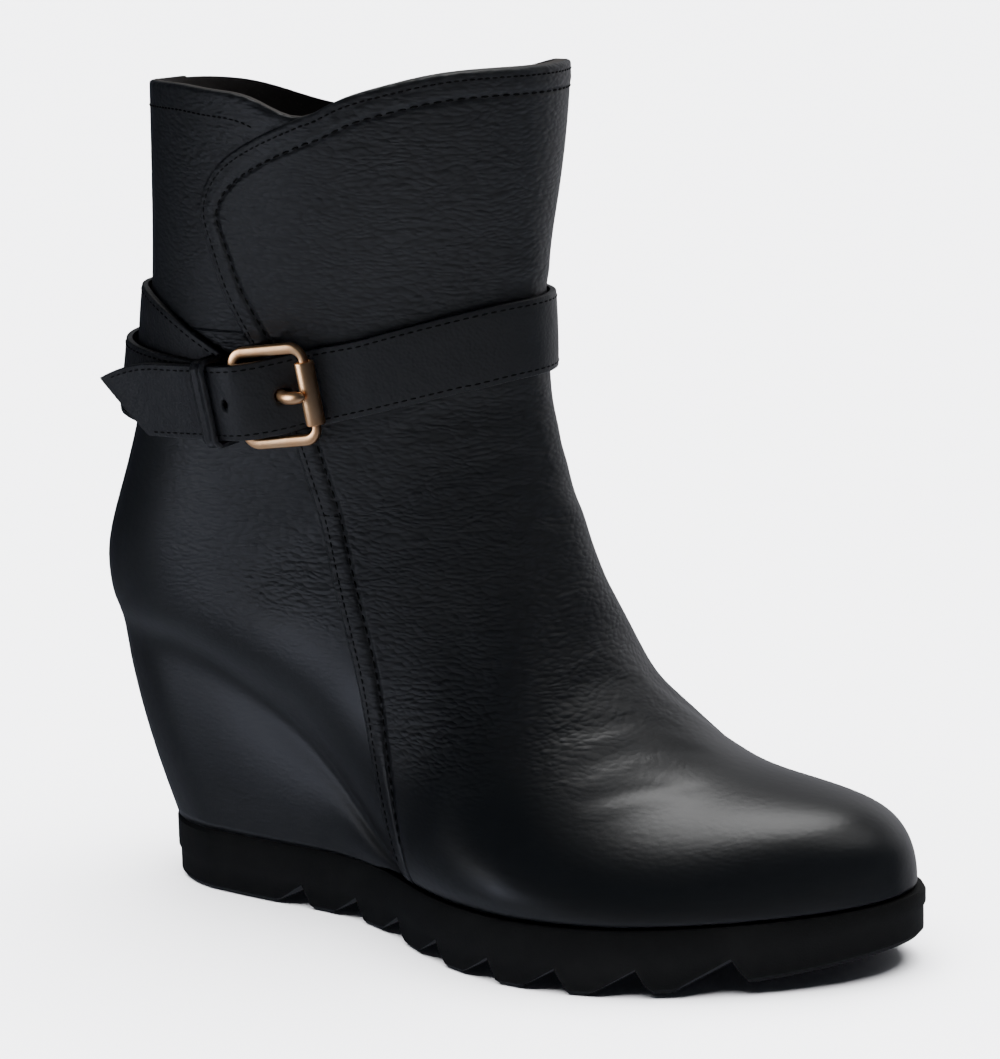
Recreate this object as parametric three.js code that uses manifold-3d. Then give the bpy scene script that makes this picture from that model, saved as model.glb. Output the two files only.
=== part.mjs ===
// A right ankle boot on a covered wedge, with a wrapped ankle strap and buckle.
// Millimetres, +Z up, +X to the toe, -Y to the outer side of the foot. The origin is on
// the floor under the middle of the heel; sizes are worked out from the back of the heel.
import * as THREE from 'three';
import Module from 'manifold-3d';

const wasm = await Module();
wasm.setup();

// Main sizes
const bootLength = 240.5;
const originPlace = 44;
const collarHeight = 219;
const heelHeight = 69.5;
const ballWidth = 93;
const heelWidth = 52;
const platform = 17;
const toeSpring = 8;
const toeLift = 2.6;
const wedgeTuck = 18.5;

// Wall, lap and clearances
const wall = 2.4;
const lapStep = 1.3;
const gap = 0.3;
const seatGap = 0.65;
const insoleThickness = 3;
const soleLedge = 3.2;
const lastLength = bootLength - soleLedge;
const seatSwell = 1.5;
const wedgeBelly = 1.4;
const wedgeTip = 9;

// Outsole side and tread
const sideStep = 0.5;
const sideStepHeight = 8;
const soleEdge = 1.2;
const notchCount = 8;
const notchPitch = 19.4;
const notchDepth = 6.4;
const toothFlat = 5.6;
const notchDrop = 3.6;
const firstTooth = 79.5;

// Plan of the sole: shares of the boot's length, and of the ball's or heel's width
const plan = [
  { along: 0.0, centre: 0.0, heel: 0.97, ball: 0.0 },
  { along: 0.14, centre: 0.0, heel: 0.99, ball: 0.0 },
  { along: 0.22, centre: -0.005, heel: 1.03, ball: 0.0 },
  { along: 0.30, centre: -0.008, heel: 0.99, ball: 0.03 },
  { along: 0.38, centre: -0.008, heel: 0.82, ball: 0.15 },
  { along: 0.46, centre: -0.014, heel: 0.52, ball: 0.45 },
  { along: 0.54, centre: -0.036, heel: 0.20, ball: 0.81 },
  { along: 0.62, centre: -0.056, heel: 0.02, ball: 1.01 },
  { along: 0.70, centre: -0.064, heel: 0.0, ball: 1.05 },
  { along: 0.80, centre: -0.045, heel: 0.0, ball: 1.06 },
  { along: 0.90, centre: 0.018, heel: 0.0, ball: 1.05 },
  { along: 1.0, centre: 0.085, heel: 0.0, ball: 1.05 },
];
const heelRound = 27;
const toeRoundStart = 0.64;
const toeRoundPower = 1.6;

// Height of the last's feather edge: share of the way to the ball, share of the heel's rise
const feather = [
  { along: 0.0, rise: 1.0 },
  { along: 0.15, rise: 0.995 },
  { along: 0.355, rise: 0.93 },
  { along: 0.5, rise: 0.805 },
  { along: 0.585, rise: 0.713 },
  { along: 0.66, rise: 0.605 },
  { along: 0.73, rise: 0.468 },
  { along: 0.8, rise: 0.31 },
  { along: 0.87, rise: 0.163 },
  { along: 0.93, rise: 0.062 },
  { along: 1.0, rise: 0.008 },
  { along: 1.1, rise: 0.0 },
];
const featherBack = 2.8;
const ballBreak = 118;

// Sections of the last from the toe to the collar. front, under: shares of its length,
// top: rise of the front point over the lower one, back: rise of the lower one over the
// heel seat, both as shares of the shaft's rise; ridge: share of the ball's width.
const sections = [
  { front: 1.000, under: 1.000, top: 0.0, back: 0, swell: 1.0, heelward: 0.0, full: 0.1, ridge: 0.075 },
  { front: 0.9955, under: 0.9955, top: 0.056, back: 0, swell: 1.005, heelward: 0.0, full: 0.12, ridge: 0.073 },
  { front: 0.981, under: 0.981, top: 0.098, back: 0, swell: 1.01, heelward: 0.02, full: 0.14, ridge: 0.070 },
  { front: 0.952, under: 0.952, top: 0.131, back: 0, swell: 1.02, heelward: 0.04, full: 0.12, ridge: 0.068 },
  { front: 0.907, under: 0.906, top: 0.152, back: 0, swell: 1.02, heelward: 0.08, full: 0.10, ridge: 0.064 },
  { front: 0.852, under: 0.848, top: 0.168, back: 0, swell: 1.02, heelward: 0.14, full: 0.06, ridge: 0.058 },
  { front: 0.791, under: 0.785, top: 0.190, back: 0, swell: 1.02, heelward: 0.20, full: 0.02, ridge: 0.050 },
  { front: 0.736, under: 0.720, top: 0.236, back: 0, swell: 1.02, heelward: 0.26, full: 0.0, ridge: 0.042 },
  { front: 0.689, under: 0.651, top: 0.300, back: 0, swell: 1.03, heelward: 0.30, full: 0.0, ridge: 0.036 },
  { front: 0.655, under: 0.573, top: 0.373, back: 0, swell: 1.06, heelward: 0.32, full: 0.02, ridge: 0.030 },
  { front: 0.629, under: 0.487, top: 0.471, back: 0, swell: 1.14, heelward: 0.32, full: 0.06, ridge: 0.025 },
  { front: 0.611, under: 0.393, top: 0.443, back: 0, swell: 1.20, heelward: 0.30, full: 0.12, ridge: 0.020 },
  { front: 0.598, under: 0.291, top: 0.371, back: 0, swell: 1.20, heelward: 0.28, full: 0.17, ridge: 0.016 },
  { front: 0.586, under: 0.189, top: 0.372, back: 0, swell: 1.18, heelward: 0.26, full: 0.21, ridge: 0.012 },
  { front: 0.578, under: 0.100, top: 0.417, back: 0, swell: 1.17, heelward: 0.25, full: 0.24, ridge: 0.008 },
  { front: 0.573, under: 0.038, top: 0.463, back: 0, swell: 1.17, heelward: 0.24, full: 0.25, ridge: 0.005 },
  { front: 0.571, under: 0.0118, top: 0.515, back: 0, swell: 1.17, heelward: 0.23, full: 0.25, ridge: 0.003 },
  { front: 0.570, under: 0.000, top: 0.495, back: 0.07, swell: 1.17, heelward: 0.22, full: 0.24, ridge: 0.0 },
  { front: 0.570, under: 0.004, top: 0.468, back: 0.15, swell: 1.17, heelward: 0.19, full: 0.22, ridge: 0.0 },
  { front: 0.572, under: 0.029, top: 0.415, back: 0.26, swell: 1.19, heelward: 0.15, full: 0.20, ridge: 0.0 },
  { front: 0.576, under: 0.057, top: 0.350, back: 0.39, swell: 1.26, heelward: 0.11, full: 0.16, ridge: 0.0 },
  { front: 0.581, under: 0.078, top: 0.272, back: 0.53, swell: 1.37, heelward: 0.07, full: 0.11, ridge: 0.0 },
  { front: 0.586, under: 0.089, top: 0.190, back: 0.68, swell: 1.48, heelward: 0.04, full: 0.07, ridge: 0.0 },
  { front: 0.590, under: 0.094, top: 0.105, back: 0.84, swell: 1.57, heelward: 0.01, full: 0.04, ridge: 0.0 },
  { front: 0.594, under: 0.097, top: 0.030, back: 1.0, swell: 1.62, heelward: 0.0, full: 0.02, ridge: 0.0 },
  { front: 0.596, under: 0.099, top: 0.0, back: 1.1, swell: 1.65, heelward: 0.0, full: 0.02, ridge: 0.0 },
];
const rearSection = 16;
const shaftSection = 20;
const ankleSection = 12;

// Edge of the front panel in side view, on the outer and the inner side of the shaft:
// height as a share of the collar's height, places as shares of the length
const lapEdge = [
  { height: 0.08, outer: 0.49, inner: 0.488 },
  { height: 0.14, outer: 0.467, inner: 0.463 },
  { height: 0.19, outer: 0.45, inner: 0.446 },
  { height: 0.25, outer: 0.434, inner: 0.43 },
  { height: 0.32, outer: 0.417, inner: 0.413 },
  { height: 0.4, outer: 0.392, inner: 0.388 },
  { height: 0.47, outer: 0.3685, inner: 0.371 },
  { height: 0.55, outer: 0.3455, inner: 0.354 },
  { height: 0.63, outer: 0.3195, inner: 0.333 },
  { height: 0.70, outer: 0.2915, inner: 0.3055 },
  { height: 0.76, outer: 0.2695, inner: 0.288 },
  { height: 0.81, outer: 0.258, inner: 0.277 },
  { height: 0.85, outer: 0.2515, inner: 0.271 },
  { height: 0.88, outer: 0.2635, inner: 0.269 },
  { height: 0.91, outer: 0.292, inner: 0.271 },
  { height: 0.935, outer: 0.335, inner: 0.275 },
  { height: 0.962, outer: 0.397, inner: 0.284 },
];

// Height of the collar's edge as shares of its height: the rear panel's edge falls to the
// dip where the front panel laps over it, and the front panel's rises from there
const collarEdge = [
  { along: 0.09, outer: 0.988, inner: 0.988 },
  { along: 0.125, outer: 0.992, inner: 0.978 },
  { along: 0.175, outer: 0.994, inner: 0.955 },
  { along: 0.225, outer: 0.994, inner: 0.940 },
  { along: 0.275, outer: 0.990, inner: 0.934 },
  { along: 0.335, outer: 0.981, inner: 0.956 },
  { along: 0.397, outer: 0.962, inner: 0.978 },
  { along: 0.43, outer: 0.977, inner: 0.988 },
  { along: 0.48, outer: 0.995, inner: 0.998 },
  { along: 0.53, outer: 1.008, inner: 1.008 },
  { along: 0.57, outer: 1.012, inner: 1.012 },
  { along: 0.60, outer: 1.011, inner: 1.011 },
];

// Ankle strap: turns round the shaft counted from its back over the outer side, height of
// the strap's middle as a share of the collar's height, inner face off the shaft in walls
// of strap, and how much farther out its upper edge stands than its lower one, in walls.
const ankleRoute = [
  { turn: -0.668, height: 0.6595, lift: 1.25, lean: 0 },
  { turn: -0.639, height: 0.6720, lift: 1.2, lean: 0 },
  { turn: -0.600, height: 0.6860, lift: 1.2, lean: 0 },
  { turn: -0.554, height: 0.6970, lift: 1.2, lean: 0 },
  { turn: -0.500, height: 0.7010, lift: 1.2, lean: 0 },
  { turn: -0.400, height: 0.7030, lift: 1.25, lean: 0 },
  { turn: -0.290, height: 0.7025, lift: 1.25, lean: 0 },
  { turn: -0.220, height: 0.7010, lift: 1.25, lean: 0 },
  { turn: -0.120, height: 0.6990, lift: 0.9, lean: 0.1 },
  { turn: 0.0, height: 0.6975, lift: 1.4, lean: 0.5 },
  { turn: 0.050, height: 0.6985, lift: 1.0, lean: 0.3 },
  { turn: 0.104, height: 0.6950, lift: 0.3, lean: 0 },
  { turn: 0.180, height: 0.6562, lift: 0.25, lean: 0 },
  { turn: 0.222, height: 0.6300, lift: 0.27, lean: 0.15 },
  { turn: 0.241, height: 0.6210, lift: 0.27, lean: 0.18 },
];

// The same strap on through the buckle, in the buckle's own axes: place along the buckle
// from its middle, the inner face's place out of it and the rise across it, in millimetres
const strapThrough = [
  { along: -56.0, out: -7.4, rise: 2.4 },
  { along: -44.0, out: -5.0, rise: 1.7 },
  { along: -34.0, out: -2.6, rise: 1.0 },
  { along: -24.0, out: -0.2, rise: 0.5 },
  { along: -17.0, out: 2.0, rise: 0.3 },
  { along: -10.3, out: 3.8, rise: 0.1 },
  { along: -5.0, out: 3.0, rise: 0.0 },
  { along: 0.0, out: 0.2, rise: 0.0 },
  { along: 5.0, out: -3.1, rise: 0.2 },
  { along: 10.7, out: -4.6, rise: 0.6 },
];

// Buckle strap, from the front panel's inner edge round the back to the buckle's bar
const buckleRoute = [
  { turn: -0.262, height: 0.5980, lift: 0.25, lean: 0 },
  { turn: -0.220, height: 0.5995, lift: 0.25, lean: 0 },
  { turn: -0.150, height: 0.6040, lift: 0.6, lean: 0 },
  { turn: -0.115, height: 0.6090, lift: 1.8, lean: 0.3 },
  { turn: -0.080, height: 0.6170, lift: 2.8, lean: 0.6 },
  { turn: 0.0, height: 0.6300, lift: 3.2, lean: 1.4 },
  { turn: 0.060, height: 0.6300, lift: 2.7, lean: 0.9 },
  { turn: 0.120, height: 0.6285, lift: 1.8, lean: 0.2 },
  { turn: 0.180, height: 0.6265, lift: 1.6, lean: 0 },
  { turn: 0.212, height: 0.6250, lift: 1.7, lean: 0 },
];
const strapWidth = 19.8;
const strapWall = 1.6;
const tailSlant = 13.5;
const tailDroop = 4.5;
const foldWidth = 17.8;

// Buckle: a flat frame with a roller on the bar under which the strap enters
const buckleTurn = 0.273;
const buckleHeight = 139.7;
const buckleLift = 6.2;
const buckleTilt = 7.5;
const buckleLean = 2;
const buckleLength = 23.5;
const buckleAcross = 27;
const buckleCorner = 5;
const buckleRim = 2.9;
const buckleWall = 2.4;
const buckleBevel = 0.6;
const rollerRadius = 2.5;
const rollerWall = 0.7;
const prongRadius = 1.0;
const keeperWidth = 5;
const keeperWall = 1.2;
const keeperLeg = 6.6;
const keeperPlace = 7.6;

// Mesh steps
const strapSteps = 60;
const throughSteps = 22;
const upperRows = 47;
const backColumns = 8;
const frontColumns = 20;
const outlineSteps = 40;
const wedgeLevels = 5;

// Natural cubic through the rows of a table
function curveOf(rows, key, column) {
  const x = rows.map((row) => row[key]);
  const y = rows.map((row) => row[column]);
  const count = x.length;
  const bend = new Array(count).fill(0);
  const carry = new Array(count).fill(0);
  for (let i = 1; i < count - 1; i++) {
    const left = x[i] - x[i - 1];
    const right = x[i + 1] - x[i];
    const pivot = 2 * (left + right) - left * carry[i - 1];
    const jump = 6 * ((y[i + 1] - y[i]) / right - (y[i] - y[i - 1]) / left);
    carry[i] = right / pivot;
    bend[i] = (jump - left * bend[i - 1]) / pivot;
  }
  for (let i = count - 2; i > 0; i--) {
    bend[i] -= carry[i] * bend[i + 1];
  }
  return (at) => {
    const here = Math.min(Math.max(at, x[0]), x[count - 1]);
    let i = 0;
    while (i < count - 2 && here > x[i + 1]) {
      i += 1;
    }
    const step = x[i + 1] - x[i];
    const a = (x[i + 1] - here) / step;
    const b = 1 - a;
    const sag = ((a ** 3 - a) * bend[i] + (b ** 3 - b) * bend[i + 1]) * step * step / 6;
    return a * y[i] + b * y[i + 1] + sag;
  };
}

// Shares at named columns of the plan, as curves
const planCentre = curveOf(plan, 'along', 'centre');
const planHeel = curveOf(plan, 'along', 'heel');
const planBall = curveOf(plan, 'along', 'ball');

function soleCentre(x) {
  return planCentre(x / bootLength) * ballWidth;
}

// Half width at x of an outline drawn in by inset, with its toe rounded off at front
function openHalf(x, front, inset) {
  const broad = (planHeel(x / bootLength) * heelWidth + planBall(x / bootLength) * ballWidth) / 2;
  const start = toeRoundStart * bootLength;
  const ahead = Math.min(Math.max(0, (x - start) / (front - start)), 1);
  return (broad - inset) * Math.sqrt(1 - ahead ** toeRoundPower);
}

// The same with the heel rounded off too, behind back + heelRound
function roundedHalf(x, back, front, inset) {
  const behind = Math.min(Math.max(0, 1 - (x - back) / heelRound), 1);
  return openHalf(x, front, inset) * Math.sqrt(1 - behind ** 2);
}

// Closed outline from the heel along the outer side to the front and back again,
// up to the place last; it ends in a point at front, or square where last is short of it
function outline(back, front, last, inset) {
  const blunt = last < front;
  const side = [];
  for (let i = 0; i <= outlineSteps; i++) {
    const share = i / outlineSteps;
    const eased = blunt ? 1 - Math.cos(0.5 * Math.PI * share) : (1 - Math.cos(Math.PI * share)) / 2;
    const x = back + (last - back) * eased;
    side.push([x, roundedHalf(x, back, front, inset(x))]);
  }
  const ring = side.map(([x, half]) => [x, soleCentre(x) - half]);
  for (let i = blunt ? outlineSteps : outlineSteps - 1; i > 0; i--) {
    ring.push([side[i][0], soleCentre(side[i][0]) + side[i][1]]);
  }
  return ring;
}

// Solid from triangles: vertices merged, flat triangles dropped
function solidFrom(points, triangles) {
  const keys = new Map();
  const vertices = [];
  const merged = points.map((p) => {
    const key = [p.x, p.y, p.z].map((value) => Math.round(value * 500)).join(' ');
    if (!keys.has(key)) {
      keys.set(key, vertices.length / 3);
      vertices.push(p.x, p.y, p.z);
    }
    return keys.get(key);
  });
  const faces = [];
  for (const [a, b, c] of triangles) {
    const corner = [merged[a], merged[b], merged[c]];
    if (corner[0] !== corner[1] && corner[1] !== corner[2] && corner[0] !== corner[2]) {
      faces.push(...corner);
    }
  }
  const geometry = new THREE.BufferGeometry();
  geometry.setAttribute('position', new THREE.Float32BufferAttribute(vertices, 3));
  geometry.setIndex(faces);
  return geometry;
}

// Rings of equal count stacked upwards, with caps that join each point to its mirror
function stackRings(rings) {
  const count = rings[0].length;
  const points = rings.flat();
  const triangles = [];
  for (let k = 0; k < rings.length - 1; k++) {
    for (let i = 0; i < count; i++) {
      const a = k * count + i;
      const b = k * count + (i + 1) % count;
      triangles.push([a, b, b + count], [a, b + count, a + count]);
    }
  }
  const top = (rings.length - 1) * count;
  for (let i = 0; i < count - i - 1; i++) {
    const far = (count - i) % count;
    triangles.push([far, i + 1, i], [far, count - i - 1, i + 1]);
    triangles.push([top + far, top + i, top + i + 1]);
    triangles.push([top + far, top + i + 1, top + count - i - 1]);
  }
  return solidFrom(points, triangles);
}

function toManifold(geometry) {
  return new wasm.Manifold(new wasm.Mesh({
    numProp: 3,
    vertProperties: new Float32Array(geometry.attributes.position.array),
    triVerts: new Uint32Array(geometry.index.array),
  }));
}

function fromManifold(manifold) {
  const mesh = manifold.getMesh();
  const geometry = new THREE.BufferGeometry();
  geometry.setAttribute('position', new THREE.BufferAttribute(new Float32Array(mesh.vertProperties), 3));
  geometry.setIndex(new THREE.BufferAttribute(new Uint32Array(mesh.triVerts), 1));
  return geometry;
}

// Heights of the sole and of the feather edge
function springShare(x) {
  const start = 0.70 * bootLength;
  return Math.max(0, (x - start) / (bootLength - start)) ** 2;
}

function soleUnder(x) {
  return toeSpring * springShare(x);
}

function soleTop(x) {
  return platform + toeLift * springShare(x);
}

const featherRise = curveOf(feather, 'along', 'rise');

function featherHeight(x) {
  const rise = featherRise((x - featherBack) / (ballBreak - featherBack));
  return soleTop(x) + gap + (heelHeight - platform - gap) * Math.max(rise, 0);
}

// How far the feather edge stands in from the outsole's edge
function ledgeAt(x) {
  const share = Math.min(Math.max((x - featherBack) / (ballBreak - featherBack), 0), 1);
  return soleLedge * share ** 2 - seatSwell * (1 - share);
}

// Surface of the last: s runs over the sections, v from the outer feather edge
// over the ridge of the foot to the inner one
const indexed = sections.map((row, i) => ({ ...row, at: i }));
const sectionCurve = Object.fromEntries(
  Object.keys(sections[0]).map((name) => [name, curveOf(indexed, 'at', name)]),
);

function sectionAt(s) {
  const shaftRise = collarHeight - heelHeight;
  const lowX = sectionCurve.under(s) * lastLength;
  const open = s < rearSection;
  const lowZ = featherHeight(lowX) + (open ? 0 : Math.max(sectionCurve.back(s), 0) * shaftRise);
  const rise = Math.max(sectionCurve.top(s), 0) * shaftRise;
  const plain = Math.min(lowX, lastLength);
  const half = openHalf(plain, lastLength, ledgeAt(plain)) * sectionCurve.swell(s);
  const heelward = sectionCurve.heelward(s);
  const full = sectionCurve.full(s);
  const width = (angle) => {
    const c = Math.cos(angle);
    return half * Math.sin(angle) * (1 + heelward * c + full * c * c);
  };
  let start = 0;
  if (open) {
    const foot = roundedHalf(plain, featherBack, lastLength, ledgeAt(plain));
    let low = 0;
    let high = Math.PI / 2;
    for (let i = 0; i < 40; i++) {
      start = (low + high) / 2;
      if (width(start) < foot) {
        low = start;
      } else {
        high = start;
      }
    }
  }
  return {
    lowX, lowZ, rise, start, width,
    frontX: sectionCurve.front(s) * lastLength,
    lowY: soleCentre(lowX),
    ridgeY: sectionCurve.ridge(s) * ballWidth,
  };
}

function lastPoint(s, v) {
  const cut = sectionAt(s);
  const side = v < 0.5 ? -1 : 1;
  const share = 1 - Math.abs(v - 0.5) * 2;
  const angle = cut.start + (Math.PI - cut.start) * share;
  const up = (Math.cos(cut.start) - Math.cos(angle)) / (1 + Math.cos(cut.start));
  return new THREE.Vector3(
    cut.lowX + (cut.frontX - cut.lowX) * up,
    cut.lowY + (cut.ridgeY - cut.lowY) * up + side * cut.width(angle),
    cut.lowZ + cut.rise * up,
  );
}

function lastNormal(s, v) {
  const small = 0.02;
  const sBack = Math.max(s - small, 0.004);
  const sOn = Math.min(s + small, sections.length - 1);
  const vBack = Math.max(v - small, 0.002);
  const vOn = Math.min(v + small, 0.998);
  const alongS = lastPoint(sOn, v).sub(lastPoint(sBack, v));
  const alongV = lastPoint(s, vOn).sub(lastPoint(s, vBack));
  const normal = alongV.cross(alongS);
  return s < 0.01 ? new THREE.Vector3(1, 0, 0) : normal.normalize();
}

const group = new THREE.Group();
export default group;

function addMesh(name, geometry, color, roughness, metalness) {
  geometry.translate(-originPlace, 0, 0);
  geometry.computeVertexNormals();
  const mesh = new THREE.Mesh(geometry, new THREE.MeshStandardMaterial({ color, roughness, metalness }));
  mesh.name = name;
  group.add(mesh);
}

// Outsole: flat heel and forefoot, spring at the toe, saw-tooth notches across
function outsole() {
  const levels = [
    { inset: soleEdge + sideStep, height: (x) => soleUnder(x) },
    { inset: sideStep, height: (x) => soleUnder(x) + soleEdge },
    { inset: sideStep, height: (x) => soleUnder(x) + sideStepHeight - soleEdge },
    { inset: 0, height: (x) => soleUnder(x) + sideStepHeight },
    { inset: 0, height: (x) => soleTop(x) - soleEdge },
    { inset: soleEdge / 2, height: (x) => soleTop(x) },
  ];
  const rings = levels.map(({ inset, height }) => {
    const back = wedgeTuck + inset;
    const front = bootLength - inset;
    return outline(back, front, front, () => inset).map(([x, y]) => new THREE.Vector3(x, y, height(x)));
  });
  let solid = toManifold(stackRings(rings));
  const reach = 2 * ballWidth;
  for (let i = 0; i < notchCount; i++) {
    const tooth = firstTooth + i * notchPitch;
    const lift = soleUnder(tooth);
    const profile = new THREE.Shape([
      new THREE.Vector2(tooth, lift - soleEdge),
      new THREE.Vector2(tooth - notchDrop, lift + notchDepth),
      new THREE.Vector2(tooth - notchPitch + toothFlat, lift - soleEdge / 4),
      new THREE.Vector2(tooth - notchPitch + toothFlat, lift - soleEdge),
    ]);
    const cutter = new THREE.ExtrudeGeometry(profile, { depth: reach, bevelEnabled: false });
    cutter.rotateX(Math.PI / 2);
    cutter.translate(0, reach / 2, 0);
    solid = solid.subtract(toManifold(welded(cutter)));
  }
  return fromManifold(solid);
}

// Wedge between the feather edge and the outsole, tapering out at the ball
function wedgeHeel() {
  const last = ballBreak - wedgeTip;
  const low = outline(wedgeTuck, bootLength, last, () => soleEdge / 2);
  const high = outline(featherBack, lastLength, last, ledgeAt);
  const rings = [];
  for (let k = 0; k <= wedgeLevels; k++) {
    const share = k / wedgeLevels;
    const belly = wedgeBelly * Math.sin(Math.PI * share);
    rings.push(low.map(([footX, footY], i) => {
      const [seatX, seatY] = high[i];
      const x = footX + (seatX - footX) * share;
      const y = footY + (seatY - footY) * share;
      const out = new THREE.Vector2(
        Math.min(x - wedgeTuck - heelRound, 0) / heelRound,
        (y - soleCentre(x)) / heelWidth * 2,
      ).normalize();
      const z0 = soleTop(footX) + gap;
      const z1 = featherHeight(seatX) - seatGap;
      return new THREE.Vector3(x + out.x * belly, y + out.y * belly, z0 + (z1 - z0) * share);
    }));
  }
  return stackRings(rings);
}

// Insole inside the upper's wall, on the wedge and the outsole
function insole() {
  const inset = wall + 3 * gap;
  const front = lastLength - inset;
  const ring = outline(featherBack + inset, front, front, (x) => ledgeAt(x) + inset);
  return stackRings([0, insoleThickness].map((lift) => ring.map(
    ([x, y]) => new THREE.Vector3(x, y, featherHeight(x) + lift),
  )));
}

// Where a curve falls to zero between two values
function crossing(low, high, measure) {
  let a = low;
  let b = high;
  for (let i = 0; i < 40; i++) {
    const middle = (a + b) / 2;
    if (measure(middle) < 0) {
      a = middle;
    } else {
      b = middle;
    }
  }
  return (a + b) / 2;
}

const lapPlace = { outer: curveOf(lapEdge, 'height', 'outer'), inner: curveOf(lapEdge, 'height', 'inner') };
const collarPlace = {
  outer: curveOf(collarEdge, 'along', 'outer'),
  inner: curveOf(collarEdge, 'along', 'inner'),
};

// Section at which the column v reaches the collar's edge
function collarSection(v) {
  return crossing(shaftSection, sections.length - 1, (s) => {
    const point = lastPoint(s, v);
    const edge = v < 0.5 ? collarPlace.outer : collarPlace.inner;
    return point.z - edge(point.x / bootLength) * collarHeight;
  });
}

// Section s with the ones above the strap drawn down to end at the collar's edge
function settle(s, v) {
  if (s <= shaftSection) {
    return s;
  }
  const share = (s - shaftSection) / (sections.length - 1 - shaftSection);
  return shaftSection + share * (collarSection(v) - shaftSection);
}

// Share v of the front panel's edge on the section s, counted in from the side's own edge
function lapShare(s, side) {
  const ahead = (share) => {
    const v = side === 'outer' ? share : 1 - share;
    const point = lastPoint(settle(s, v), v);
    return point.x - lapPlace[side](point.z / collarHeight) * bootLength;
  };
  return ahead(0) > 0 ? 0 : crossing(0, 0.5, ahead);
}

function upper() {
  const rows = [];
  for (let i = 0; i <= upperRows; i++) {
    rows.push((sections.length - 1) * i / upperRows);
  }
  const nearest = rows.reduce((best, s, i) => (
    Math.abs(s - rearSection) < Math.abs(rows[best] - rearSection) ? i : best), 0);
  rows[nearest] = rearSection;
  const outer = [];
  const inner = [];
  for (const s of rows) {
    const lap = lapShare(s, 'outer');
    const innerLap = lapShare(s, 'inner');
    const columns = [];
    for (let i = 0; i <= backColumns; i++) {
      columns.push({ v: lap * i / backColumns, raised: 0 });
    }
    for (let i = 0; i <= frontColumns; i++) {
      columns.push({ v: lap + (1 - lap - innerLap) * i / frontColumns, raised: lapStep });
    }
    for (let i = 0; i <= backColumns; i++) {
      columns.push({ v: 1 - innerLap + innerLap * i / backColumns, raised: 0 });
    }
    const outerRow = [];
    const innerRow = [];
    for (const { v, raised } of columns) {
      const at = settle(s, v);
      const point = lastPoint(at, v);
      const normal = lastNormal(at, v);
      if (v === 0 || v === 1) {
        normal.z *= s <= rearSection ? 0 : 1;
        normal.y *= s >= rearSection ? 0 : 1;
        normal.normalize();
      }
      outerRow.push(point.clone().addScaledVector(normal, raised));
      const lining = point.clone().addScaledVector(normal, -wall);
      if (s <= rearSection && (v === 0 || v === 1)) {
        lining.z = featherHeight(lining.x);
      }
      innerRow.push(lining);
    }
    if (s >= rearSection) {
      outerRow[outerRow.length - 1] = outerRow[0];
      innerRow[innerRow.length - 1] = innerRow[0];
    }
    outer.push(outerRow);
    inner.push(innerRow);
  }
  const wide = outer[0].length;
  const points = [...outer.flat(), ...inner.flat()];
  const inside = outer.length * wide;
  const triangles = [];
  const quad = (a, b, c, d) => {
    if (points[a].distanceTo(points[c]) <= points[b].distanceTo(points[d])) {
      triangles.push([a, b, c], [a, c, d]);
    } else {
      triangles.push([b, c, d], [b, d, a]);
    }
  };
  for (let i = 0; i < outer.length - 1; i++) {
    for (let j = 0; j < wide - 1; j++) {
      const a = i * wide + j;
      quad(a, a + 1, a + 1 + wide, a + wide);
      quad(inside + a, inside + a + wide, inside + a + 1 + wide, inside + a + 1);
    }
    if (rows[i] < rearSection) {
      const left = i * wide;
      const right = i * wide + wide - 1;
      quad(left, left + wide, inside + left + wide, inside + left);
      quad(right, inside + right, inside + right + wide, right + wide);
    }
  }
  const top = (outer.length - 1) * wide;
  for (let j = 0; j < wide - 1; j++) {
    const a = top + j;
    quad(a, a + 1, inside + a + 1, inside + a);
  }
  return solidFrom(points, triangles);
}

// Point on the shaft at a turn and a height, off its surface by out
function shaftPoint(turn, height, out) {
  const v = turn - Math.floor(turn);
  const s = crossing(ankleSection, sections.length - 1, (at) => lastPoint(at, v).z - height);
  const normal = lastNormal(s, v);
  return { point: lastPoint(s, v).addScaledVector(normal, out), normal };
}

// Stations of a strap along its route: the two edges of its inner face and its normal
function strapStations(route, steps) {
  const height = curveOf(route, 'turn', 'height');
  const lift = curveOf(route, 'turn', 'lift');
  const lean = curveOf(route, 'turn', 'lean');
  const first = route[0].turn;
  const last = route[route.length - 1].turn;
  const small = 0.002;
  const stations = [];
  for (let i = 0; i <= steps; i++) {
    const turn = first + (last - first) * i / steps;
    const z = height(turn) * collarHeight;
    const out = lift(turn) * strapWall;
    const before = shaftPoint(turn - small, z, out).point;
    const after = shaftPoint(turn + small, z, out).point;
    const perTurn = before.distanceTo(after) / (2 * small);
    const climb = (height(turn + small) - height(turn - small)) * collarHeight / (2 * small);
    const slope = Math.atan2(climb, perTurn);
    const edge = (side) => shaftPoint(
      turn - side * Math.sin(slope) * strapWidth / 2 / perTurn,
      z + side * Math.cos(slope) * strapWidth / 2,
      out + side * lean(turn) * strapWall / 2,
    ).point;
    const low = edge(-1);
    const high = edge(1);
    const along = after.sub(before).normalize();
    const normal = along.cross(high.clone().sub(low)).normalize();
    stations.push({ low, high, normal });
  }
  return stations;
}

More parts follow.
